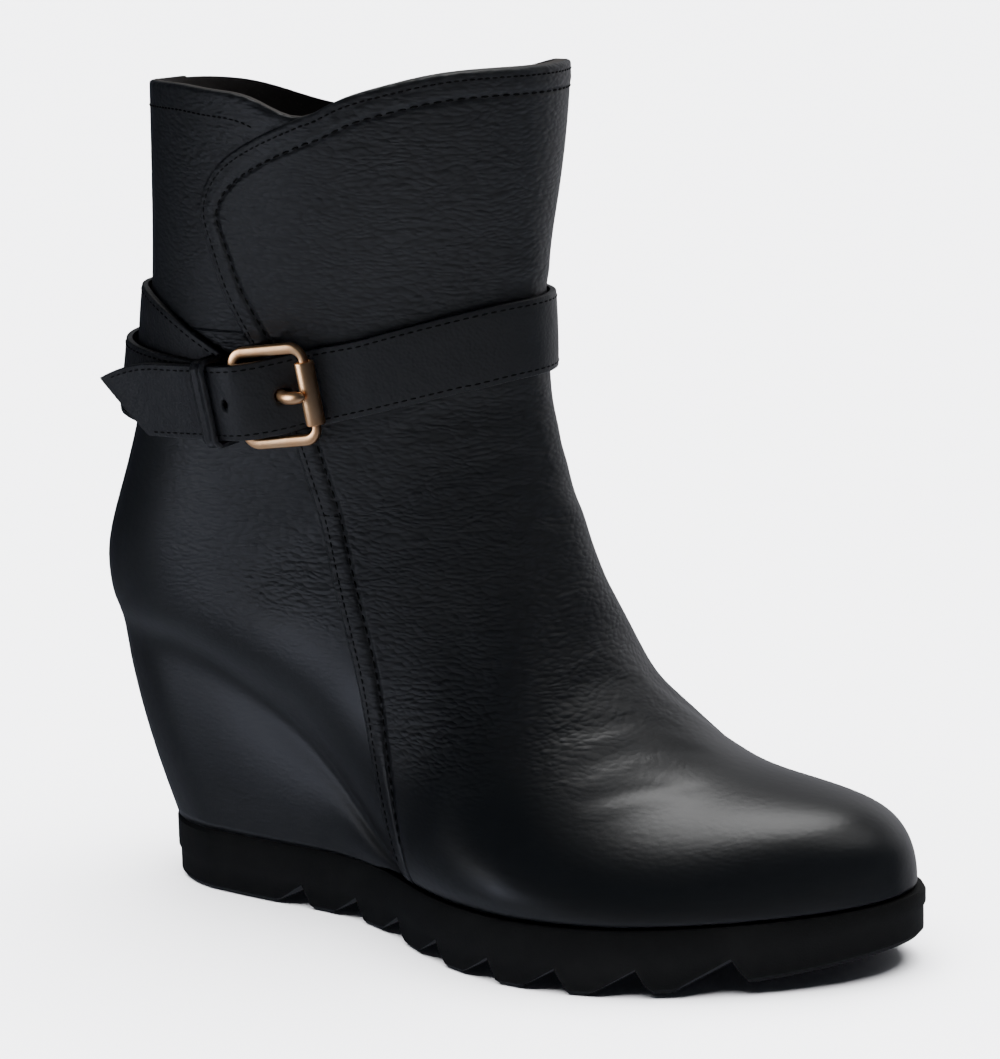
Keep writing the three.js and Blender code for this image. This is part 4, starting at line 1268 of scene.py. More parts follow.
@dataclass
class RearSkin:
    """Quarters of the shaft and the wedge's cover, lasted as one smooth leather."""

    finish: bpy.types.Material
    per_section: float = 9.0
    first_section: float = 6.0
    quarter_columns: int = 42
    wedge_levels: int = 26
    under_lap: float = 12.0
    thickness: float = 1.25
    wedge_tuck: float = 18.5
    wedge_belly: float = 1.4
    wedge_tip: float = 9.0
    sole_edge: float = 1.2
    foot_gap: float = 0.05
    seam_height: float = 154.5
    soften_reach: float = 6.0
    soften_rounds: int = 22
    collar_round: float = 1.1
    row_inset: float = 6.5
    row_reach: float = 0.5
    row_margin: float = 0.006

    def side_grids(self, side: Side) -> tuple[np.ndarray, np.ndarray]:
        """Lay out one side.

        Args:
            side: side of the foot.

        Returns:
            The quarter's points and the wedge's points, rows by columns.
        """
        rows = np.unique(np.concatenate([
            section_rows(self.first_section, self.per_section), LAST_ROW - np.array(NEAR_COLLAR)]))
        lap = LAST.lap_share(rows, side)
        first = max(int(np.argmax(lap > 0)) - 1, 0)
        rows, lap = rows[first:], lap[first:]
        small = 0.004
        start = lap if side is Side.OUTER else 1 - lap
        step = small if side is Side.OUTER else -small
        run = np.linalg.norm(FrontPanel.base(rows, start + step) - FrontPanel.base(rows, start), axis=1)
        reach = lap + np.minimum(self.under_lap * small / run, 0.2)
        share = np.linspace(0, 1, self.quarter_columns) * reach[:, None]
        v = share if side is Side.OUTER else 1 - share
        s = np.broadcast_to(rows[:, None], v.shape)
        at = LAST.settle(s, v)
        quarter = LAST.point(at, v)
        rim = quarter[-1:, :, 2] - quarter[..., 2]
        near = 1 - np.clip(np.abs(rim) / self.collar_round, 0, 1)
        sink = self.collar_round * (1 - np.sqrt(1 - near ** 2))
        quarter = quarter - LAST.normal(at, v) * (np.where(s > LAST.shaft_row, sink, 0))[..., None]
        low = rows <= LAST.rear_row
        return quarter, self.wedge(quarter[low][:, 0], side)

    def wedge(self, seat: np.ndarray, side: Side) -> np.ndarray:
        """Lay out the wedge's cover down from the feather edge.

        Args:
            seat: points of the feather edge.
            side: side of the foot.

        Returns:
            Points, rows by levels, from the sole up to the feather edge.
        """
        last = LAST.ball_break - self.wedge_tip
        along = np.maximum((seat[:, 0] - LAST.feather_back) / (last - LAST.feather_back), 0)
        foot_x = self.wedge_tuck + (last - self.wedge_tuck) * along
        half = LAST.rounded_half(foot_x, self.wedge_tuck, LAST.boot_length, self.sole_edge / 2)
        foot_y = LAST.centre(foot_x) + side.value * half
        fade = smooth_step((along - 0.93) / 0.14)
        foot_x = foot_x + (seat[:, 0] - foot_x) * fade
        foot_y = foot_y + (seat[:, 1] - foot_y) * fade
        foot = np.stack([foot_x, foot_y, LAST.sole_top(foot_x) + self.foot_gap], axis=1)
        share = np.linspace(0, 1, self.wedge_levels)[None, :, None]
        grid = foot[:, None] + (seat[:, None] - foot[:, None]) * share
        out = np.stack([
            np.minimum(grid[..., 0] - self.wedge_tuck - LAST.heel_round, 0) / LAST.heel_round,
            (grid[..., 1] - LAST.centre(grid[..., 0])) / LAST.heel_width * 2,
        ], axis=-1)
        out = out / np.maximum(np.linalg.norm(out, axis=-1, keepdims=True), 1e-6)
        belly = self.wedge_belly * np.sin(math.pi * share[..., 0]) * (1 - fade)[:, None]
        grid[..., :2] += out * belly[..., None]
        return grid

    def build(self) -> bpy.types.Object:
        """Make the skin, welded at the back seam and softened along the wedge's ridge."""
        points, faces, fixed, ridge = [], [], [], []
        count = 0
        for side in Side:
            for k, grid in enumerate(self.side_grids(side)):
                flip = (side is Side.INNER) != (k == 1)
                faces += Grid(grid).faces(count, flip=flip)
                points.append(grid.reshape(-1, 3))
                held = np.zeros(grid.shape[:2], bool)
                if k == 0:
                    held[:, -1] = held[-6:] = held[0] = True
                else:
                    held[:, 0] = held[0] = True
                    ridge.append(grid[:, -1])
                fixed.append(held.ravel())
                count += grid.shape[0] * grid.shape[1]
        cloud = np.concatenate(points)
        held = np.concatenate(fixed)
        keys, index = np.unique(np.round(cloud / 0.002).astype(np.int64), axis=0, return_inverse=True)
        index = index.ravel()
        merged = np.zeros((len(keys), 3))
        merged[index] = cloud
        still = np.zeros(len(keys), bool)
        still[index[held]] = True
        quads = [tuple(dict.fromkeys(index[list(face)].tolist())) for face in faces]
        quads = [face for face in quads if len(face) > 2]
        pull = np.exp(-(np.minimum(*(distance_to(merged, line) for line in ridge)) / self.soften_reach) ** 2)
        pull[still] = 0
        merged = self.soften(merged, quads, pull)
        values = {
            "edge_mm": np.full(len(merged), 90.0),
            "grain": self.grain(merged),
            "panel_mm": self.seam_height - merged[:, 2],
        }
        piece = make_piece("rear_and_wedge_cover", merged, quads, self.finish, values, outward=True)
        thick = piece.modifiers.new("thickness", "SOLIDIFY")
        thick.thickness = self.thickness * MM
        thick.offset = -1
        bake_modifiers(piece)
        settle_piece(piece, "wedge_heel", "wedge_heel")
        return piece

    def collar_row(self, inset: float) -> tuple[np.ndarray, np.ndarray]:
        """Trace a row of stitches under the rear panel's collar edge, from lap to lap.

        Args:
            inset: distance below the edge in millimetres.

        Returns:
            Points along the row and the surface's normals.
        """
        near = np.array([LAST_ROW - self.row_reach])
        outer = LAST.lap_share(near, Side.OUTER) - self.row_margin
        inner = 1 - LAST.lap_share(near, Side.INNER) + self.row_margin
        v = np.concatenate([np.linspace(outer[0], 0.0, 60), np.linspace(1.0, inner[0], 60)[1:]])
        top = np.full_like(v, float(LAST_ROW))
        rim = FrontPanel.base(top, v)

        def under(drop: np.ndarray) -> np.ndarray:
            """How much further down than the row a point lies."""
            return distance_to(FrontPanel.base(top - drop, v), rim) - inset

        drop = crossing(np.zeros_like(v), np.full_like(v, ROW_SEARCH), under, ROW_ROUNDS)
        at = LAST.settle(top - drop, v)
        return LAST.point(at, v), LAST.normal(at, v)

    def soften(self, points: np.ndarray, faces: list[tuple[int, ...]], pull: np.ndarray) -> np.ndarray:
        """Round the ridge by moving each point towards the middle of its neighbours.

        Args:
            points: the points.
            faces: faces as vertex numbers.
            pull: share of the move at each point.

        Returns:
            The moved points.
        """
        pairs = {tuple(sorted((face[k], face[k - 1]))) for face in faces for k in range(len(face))}
        pairs = np.array(sorted(pairs))
        count = np.zeros(len(points))
        np.add.at(count, pairs[:, 0], 1)
        np.add.at(count, pairs[:, 1], 1)
        for _ in range(self.soften_rounds):
            total = np.zeros_like(points)
            np.add.at(total, pairs[:, 0], points[pairs[:, 1]])
            np.add.at(total, pairs[:, 1], points[pairs[:, 0]])
            middle = total / np.maximum(count, 1)[:, None]
            points = points + (middle - points) * (0.6 * pull)[:, None]
        return points

    @staticmethod
    def grain(points: np.ndarray) -> np.ndarray:
        """Share of pebbled grain: some on the quarter, little on the heel and the wedge."""
        forward = smooth_step((points[:, 0] - 22) / 45)
        up = smooth_step((points[:, 2] - 66) / 26)
        high = smooth_step((points[:, 2] - 150) / 12)
        return np.clip(0.10 + 0.55 * forward * up + 0.2 * high, 0, 1)


@dataclass
class Lining:
    """Lining leather inside the whole upper."""

    finish: bpy.types.Material
    wall: float = 2.4
    front_depth: float = 0.02
    rear_depth: float = 1.27
    columns: int = 120
    per_section: float = 5.0

    def build(self) -> bpy.types.Object:
        """Make the lining as a closed sheet, open at the collar and along the foot."""
        rows = section_rows(1.0, self.per_section)
        v = np.linspace(0, 1, self.columns)
        s, v = np.meshgrid(rows, v, indexing="ij")
        at = LAST.settle(s, v)
        base = LAST.point(at, v)
        normal = LAST.normal(at, v)
        lap = {side: LAST.lap_share(rows, side)[:, None] for side in Side}
        margin = 0.03
        front = (v > lap[Side.OUTER] + margin) & (v < 1 - lap[Side.INNER] - margin)
        depth = np.where(front, self.front_depth, self.rear_depth)
        outer = base - normal * depth[..., None]
        inner = base - normal * self.wall
        foot = rows <= LAST.rear_row
        for column in (0, -1):
            inner[foot, column, 2] = LAST.feather_height(inner[foot, column, 0])
        points, faces = shell(outer, inner)
        piece = make_piece("lining", points, faces, self.finish)
        settle_piece(piece, "upper")
        return piece


@dataclass
class Outsole:
    """Moulded outsole: flat heel and forefoot, sprung toe, saw-tooth notches, a step round its side."""

    finish: bpy.types.Material
    wedge_tuck: float = 18.5
    side_step: float = 0.5
    step_height: float = 8.0
    edge: float = 1.2
    notch_count: int = 8
    notch_pitch: float = 19.4
    notch_depth: float = 6.4
    tooth_flat: float = 5.6
    notch_drop: float = 3.6
    first_tooth: float = 79.5
    end_length: float = 25.0
    places: int = 150
    across: int = 12
    bevel: float = 0.35

    def under(self, x: np.ndarray) -> np.ndarray:
        """Height of the underside with its notches."""
        height = LAST.sole_under(x)
        for i in range(self.notch_count):
            tooth = self.first_tooth + i * self.notch_pitch
            lift = LAST.sole_under(tooth)
            places = [tooth - self.notch_pitch + self.tooth_flat, tooth - self.notch_drop, tooth]
            heights = [lift - self.edge / 4, lift + self.notch_depth, lift - self.edge]
            notch = np.interp(x, places, heights, left=-9, right=-9)
            height = np.maximum(height, notch)
        return height

    def build(self) -> bpy.types.Object:
        """Make the outsole from rings and a flat underside between its sides."""
        back, front = self.wedge_tuck, LAST.boot_length
        share = np.linspace(0, 1, self.places)
        x = back + (front - back) * (1 - np.cos(math.pi * share)) / 2
        teeth = self.first_tooth + np.arange(self.notch_count) * self.notch_pitch
        marks = np.concatenate([teeth, teeth - self.notch_drop, teeth - self.notch_pitch + self.tooth_flat])
        x = np.unique(np.round(np.concatenate([x, marks]), 4))
        keep = [0] + [i for i in range(1, len(x) - 1)
                      if x[i] in np.round(marks, 4) or np.abs(marks - x[i]).min() > 0.35] + [len(x) - 1]
        x = x[keep]
        levels = (
            (self.side_step + self.edge, 0.0, False),
            (self.side_step, self.edge, False),
            (self.side_step, self.step_height - self.edge, False),
            (0.0, self.step_height, False),
            (0.0, -self.edge, True),
            (self.edge / 2, 0.0, True),
        )
        sides = {Side.OUTER: [], Side.INNER: []}
        for inset, lift, from_top in levels:
            shift = (np.clip(1 - (x - back) / self.end_length, 0, 1)
                     - np.clip(1 - (front - x) / self.end_length, 0, 1))
            at = x + inset * shift
            half = LAST.rounded_half(at, back + inset, front - inset, inset)
            half[0] = half[-1] = 0
            floor = self.under(at)
            height = LAST.sole_top(at) + lift if from_top else np.maximum(LAST.sole_under(at) + lift, floor)
            for side in Side:
                line = np.stack([at, LAST.centre(at) + side.value * half, height], axis=1)
                sides[side].append(line)
        outer = np.stack(sides[Side.OUTER])
        inner = np.stack(sides[Side.INNER])
        share = np.linspace(0, 1, self.across)[:, None, None]
        bottom = outer[0] + (inner[0] - outer[0]) * share
        top = outer[-1] + (inner[-1] - outer[-1]) * share
        faces, count, points = [], 0, []
        for grid, flip in ((outer, True), (inner, False), (bottom, False), (top, True)):
            faces += Grid(grid).faces(count, flip=flip)
            points.append(grid.reshape(-1, 3))
            count += grid.shape[0] * grid.shape[1]
        piece = make_piece("moulded_outsole", np.concatenate(points), faces, self.finish,
                           weld=0.01, outward=True, sharp=30)
        soft = piece.modifiers.new("edges", "BEVEL")
        soft.width = self.bevel * MM
        soft.segments = 2
        soft.limit_method = "ANGLE"
        soft.angle_limit = math.radians(28)
        bake_modifiers(piece)
        settle_piece(piece, "outsole", "outsole")
        return piece


@dataclass(frozen=True)
class BuckleAxes:
    """The buckle's own axes: along the strap, across it and out of the shaft."""

    turn: float = 0.273
    height: float = 139.7
    lift: float = 6.2
    tilt: float = 7.5
    lean: float = 2.0

    def __post_init__(self) -> None:
        """Work out the place and the axes."""
        point, normal = LAST.shaft_point(self.turn, self.height, self.lift)
        level = unit(np.cross([0, 0, 1], normal))
        across = unit(np.cross(normal, level))
        basis = Matrix([level, across, normal]).transposed()
        basis = basis @ Matrix.Rotation(math.radians(self.tilt), 3, "Z")
        basis = basis @ Matrix.Rotation(-math.radians(self.lean), 3, "Y")
        object.__setattr__(self, "origin", point)
        object.__setattr__(self, "basis", np.array(basis))

    def place(self, points: Any) -> np.ndarray:
        """Turn points of the buckle's axes into points of the boot."""
        return np.asarray(points, float) @ self.basis.T + self.origin

    def turned(self, vectors: Any) -> np.ndarray:
        """Turn directions of the buckle's axes into directions of the boot."""
        return np.asarray(vectors, float) @ self.basis.T


AXES = BuckleAxes()


@dataclass
class Band:
    """Stations of a strap: the edges of its inner face and its outward direction."""

    low: np.ndarray
    high: np.ndarray
    out: np.ndarray

    @staticmethod
    def along_route(rows: tuple, width: float, wall: float, steps: int) -> "Band":
        """Lay a strap round the shaft.

        Args:
            rows: route as turns, heights, lifts and leans.
            width: the strap's width.
            wall: its thickness.
            steps: number of steps.

        Returns:
            The stations.
        """
        route = splines(ROUTE_COLUMNS, rows)
        small = 0.002
        turn = np.linspace(rows[0][0], rows[-1][0], steps + 1)
        z = route["height"](turn) * LAST.collar_height
        out = route["lift"](turn) * wall
        before, _ = LAST.shaft_point(turn - small, z, out)
        after, _ = LAST.shaft_point(turn + small, z, out)
        pace = np.linalg.norm(after - before, axis=1) / (2 * small)
        rise = (route["height"](turn + small) - route["height"](turn - small)) * LAST.collar_height
        slope = np.arctan2(rise / (2 * small), pace)
        edges = []
        for side in (-1, 1):
            point, _ = LAST.shaft_point(
                turn - side * np.sin(slope) * width / 2 / pace,
                z + side * np.cos(slope) * width / 2,
                out + side * route["lean"](turn) * wall / 2)
            edges.append(point)
        normal = unit(np.cross(unit(after - before), edges[1] - edges[0]))
        return Band(edges[0], edges[1], normal)

    def joined(self, other: "Band") -> "Band":
        """Run on into another band."""
        return Band(*(np.concatenate([getattr(self, key), getattr(other, key)])
                      for key in ("low", "high", "out")))

    def finer(self, steps: int) -> "Band":
        """Space the stations evenly along the band's middle.

        Args:
            steps: number of steps.

        Returns:
            The new stations.
        """
        middle = (self.low + self.high) / 2
        run = np.concatenate([[0], np.cumsum(np.linalg.norm(np.diff(middle, axis=0), axis=1))])
        at = np.linspace(0, run[-1], steps + 1)
        parts = [np.stack([Spline(run, part[:, k])(at) for k in range(3)], axis=1)
                 for part in (self.low, self.high, self.out)]
        return Band(parts[0], parts[1], unit(parts[2]))

    def row(self, inset: float, lift: float, from_low: bool) -> np.ndarray:
        """Points along the band at a distance in from one edge.

        Args:
            inset: distance in from the edge.
            lift: distance out from the inner face.
            from_low: measure from the lower edge.

        Returns:
            The points.
        """
        width = np.linalg.norm(self.high - self.low, axis=1, keepdims=True)
        share = inset / width if from_low else 1 - inset / width
        return self.low + (self.high - self.low) * share + self.out * lift

    def mesh(self, wall: float, crown: float = 0.22, corner: float = 0.45) -> tuple[np.ndarray, list]:
        """Sweep the strap's rounded section along the stations.

        Args:
            wall: the strap's thickness.
            crown: how much thicker its middle is than its edges.
            corner: radius of its edges.

        Returns:
            Points and faces of a closed body.
        """
        width = np.linalg.norm(self.high - self.low, axis=1)[:, None]
        across = unit(self.high - self.low)
        profile = [(0.0, 0.0, 0.0), (0.5, 0.0, 0.0), (1.0, 0.0, 0.0)]
        turn = np.linspace(0, math.pi / 2, 5)
        profile += [(1.0, -corner * (1 - math.cos(a)), wall - corner * (1 - math.sin(a))) for a in turn]
        profile += [(share, 0.0, wall + crown * math.sin(math.pi * share) ** 0.7)
                    for share in (0.9, 0.8, 0.65, 0.5, 0.35, 0.2, 0.1)]
        profile += [(0.0, corner * (1 - math.cos(a)), wall - corner * (1 - math.sin(a))) for a in turn[::-1]]
        rings = [self.low + across * (width * share + shift) + self.out * lift
                 for share, shift, lift in profile]
        grid = np.stack(rings, axis=1)
        faces = Grid(grid, closed=True).faces(flip=True)
        wide = grid.shape[1]
        end = (grid.shape[0] - 1) * wide
        faces.append(tuple(range(wide)))
        faces.append(tuple(range(end + wide - 1, end - 1, -1)))
        return grid.reshape(-1, 3), faces


def pierce(piece: bpy.types.Object, centre: np.ndarray, out: np.ndarray, radius: float, slot: float = 0.0,
           along: np.ndarray | None = None) -> None:
    """Cut a round hole or a slot through a piece.

    Args:
        piece: the piece to cut.
        centre: middle of the hole in millimetres.
        out: direction of the hole.
        radius: radius of its ends.
        slot: distance between its ends.
        along: direction of the slot.
    """
    out = unit(np.asarray(out, float))
    first = unit(np.asarray(along if along is not None else np.cross(out, [0.3, 0.2, 0.9]), float))
    first = unit(first - out * float(first @ out))
    second = np.cross(out, first)
    turn = np.linspace(0, math.tau, 24, endpoint=False)
    ring = (first * (np.cos(turn) * radius + np.sign(np.cos(turn)) * slot / 2)[:, None]
            + second * (np.sin(turn) * radius)[:, None])
    count = len(turn)
    points = np.concatenate([centre + ring - out * 5, centre + ring + out * 5])
    faces = [(k, (k + 1) % count, (k + 1) % count + count, k + count) for k in range(count)]
    faces += [tuple(range(count - 1, -1, -1)), tuple(range(count, 2 * count))]
    cutter = make_piece("hole_cutter", points, faces, piece.data.materials[0], outward=True)
    cut = piece.modifiers.new("hole", "BOOLEAN")
    cut.operation = "DIFFERENCE"
    cut.object = cutter
    cut.solver = "EXACT"
    bake_modifiers(piece)
    mesh = cutter.data
    bpy.data.objects.remove(cutter)
    bpy.data.meshes.remove(mesh)


@dataclass
class Straps:
    """Ankle strap with its pierced tail, buckle strap folded round the bar, and keeper."""

    finish: bpy.types.Material
    width: float = 19.8
    wall: float = 1.6
    tail_slant: float = 13.5
    tail_droop: float = 4.5
    fold_width: float = 17.8
    buckle_length: float = 23.5
    rim: float = 2.9
    buckle_wall: float = 2.4
    gap: float = 0.3
    prong_radius: float = 1.0
    keeper_width: float = 5.0
    keeper_wall: float = 1.2
    keeper_leg: float = 6.6
    keeper_place: float = 7.6
    stitch_inset: float = 1.5
    prong_hole: float = 1.9
    prong_hole_radius: float = 1.95
    prong_hole_stretch: float = 0.8
    spare_hole: float = -11.6
    spare_hole_radius: float = 1.2
    keeper_corner: float = 1.5
    bands: list[Band] = field(default_factory=list)

    @property
    def hidden_bar(self) -> float:
        """Place of the buckle's hidden bar in its own axes."""
        return -(self.buckle_length - self.rim) / 2

    def ankle_band(self) -> Band:
        """Stations of the ankle strap from its tip through the buckle and round."""
        out, rise = THROUGH_ROUTE["out"], THROUGH_ROUTE["rise"]
        share = np.linspace(0, 1, 71)
        tip, entry = THROUGH[0][0], THROUGH[-1][0]
        high = tip + (entry - tip) * share
        low = high + self.tail_slant * np.maximum(0, 1 - 2 * share)
        droop = self.tail_droop * np.maximum(0, 1 - 3 * share) ** 2
        small = 0.05
        slope = np.arctan2(out(low + small) - out(low - small), 2 * small)
        through = Band(
            AXES.place(np.stack([low, rise(low) - self.width / 2, out(low)], axis=1)),
            AXES.place(np.stack([high, rise(high) + self.width / 2 - droop, out(high)], axis=1)),
            AXES.turned(np.stack([-np.sin(slope), slope * 0, np.cos(slope)], axis=1)))
        return through.joined(Band.along_route(ANKLE_ROUTE, self.width, self.wall, 200))

    def buckle_band(self) -> Band:
        """Stations of the buckle strap up to its end folded under the bar."""
        inner = self.rim / 2 + 1.5 * self.gap
        deep = self.buckle_wall / 2 + self.gap
        angle = np.linspace(-math.pi / 2, math.pi / 2, 17)
        outwards = AXES.turned(np.stack([np.cos(angle), angle * 0, np.sin(angle)], axis=1))
        edges = []
        for side in (-1, 1):
            place = np.stack([self.hidden_bar + inner * np.cos(angle),
                              np.full_like(angle, side * self.fold_width / 2),
                              deep * np.sin(angle)], axis=1)
            edges.append(AXES.place(place) + outwards * self.wall)
        fold = Band(edges[0], edges[1], -outwards)
        back = AXES.turned([-self.rim, 0.0, 0.0])
        end = Band(fold.low[-1:] + back, fold.high[-1:] + back, fold.out[-1:])
        return Band.along_route(BUCKLE_ROUTE, self.width, self.wall, 110).joined(fold).joined(end)

    def build(self) -> None:
        """Make both straps and the keeper."""
        ankle = self.ankle_band()
        buckle = self.buckle_band()
        self.bands = [ankle, buckle]
        points, faces = ankle.mesh(self.wall)
        piece = make_piece("ankle_strap_leather", points, faces, self.finish, outward=True)
        out, rise = THROUGH_ROUTE["out"], THROUGH_ROUTE["rise"]
        holes = ((self.prong_hole, self.prong_hole_radius, self.prong_hole_stretch),
                 (self.spare_hole, self.spare_hole_radius, 0.0))
        for x, radius, stretch in holes:
            slope = math.atan2(float(out(x + 0.1) - out(x - 0.1)), 0.2)
            centre = AXES.place([x, float(rise(x)), float(out(x))])
            normal = AXES.turned([-math.sin(slope), 0.0, math.cos(slope)])
            along = AXES.turned([math.cos(slope), 0.0, math.sin(slope)])
            pierce(piece, centre, normal, radius, stretch, along)
        settle_piece(piece, "ankle_strap", "ankle_strap")
        points, faces = buckle.mesh(self.wall, crown=0.1)
        piece = make_piece("buckle_strap_leather", points, faces, self.finish, outward=True)
        eye = self.rim / 2 + 2 * self.gap + self.prong_radius
        pierce(piece, AXES.place([self.hidden_bar, 0.0, 0.0]), AXES.turned([0.0, 0.0, 1.0]),
               self.prong_radius + self.gap, 2 * eye, AXES.turned([1.0, 0.0, 0.0]))
        settle_piece(piece, "buckle_strap", "buckle_strap")
        self.build_keeper()

    def build_keeper(self) -> None:
        """Make the keeper: a loop of leather folded over at both edges."""
        tail = THROUGH_ROUTE["out"]
        place = self.hidden_bar - self.keeper_place
        lean = math.atan2(float(tail(place + 1) - tail(place - 1)), 2)
        top = self.wall + 3 * self.gap
        half = self.width / 2 + 2 * self.gap
        radius = self.keeper_corner
        path, outward = [(-half, top - self.keeper_leg)], [(-1.0, 0.0)]
        for centre_y, start in ((-half + radius, math.pi), (half - radius, math.pi / 2)):
            for turn in np.linspace(start, start - math.pi / 2, 7):
                path.append((centre_y + radius * math.cos(turn), top - radius + radius * math.sin(turn)))
                outward.append((math.cos(turn), math.sin(turn)))
        path.append((half, top - self.keeper_leg))
        outward.append((1.0, 0.0))
        width = self.keeper_width / 2
        wall = self.keeper_wall
        section = [(-width, 0.0), (0.0, 0.0), (width, 0.0)]
        section += [(width * u, wall * h) for u, h in (
            (1.0, 0.55), (0.93, 0.86), (0.75, 1.0), (0.5, 0.97), (0.22, 0.72), (0.0, 0.64),
            (-0.22, 0.72), (-0.5, 0.97), (-0.75, 1.0), (-0.93, 0.86), (-1.0, 0.55))]
        grid = []
        base = np.array([place, 0.0, float(tail(place))])
        run = np.array([math.cos(lean), 0.0, math.sin(lean)])
        out = np.array([-math.sin(lean), 0.0, math.cos(lean)])
        across = np.array([0.0, 1.0, 0.0])
        for (y, z), (ny, nz) in zip(path, outward):
            centre = base + across * y + out * z
            normal = across * ny + out * nz
            grid.append([centre + run * u + normal * h for u, h in section])
        grid = np.array(grid)
        faces = Grid(grid, closed=True).faces()
        wide = grid.shape[1]
        end = (grid.shape[0] - 1) * wide
        faces += [tuple(range(wide)), tuple(range(end, end + wide))]
        piece = make_piece("keeper_loop", AXES.place(grid.reshape(-1, 3)), faces, self.finish,
                           outward=True, sharp=60)
        settle_piece(piece, "strap_keeper", "strap_keeper")


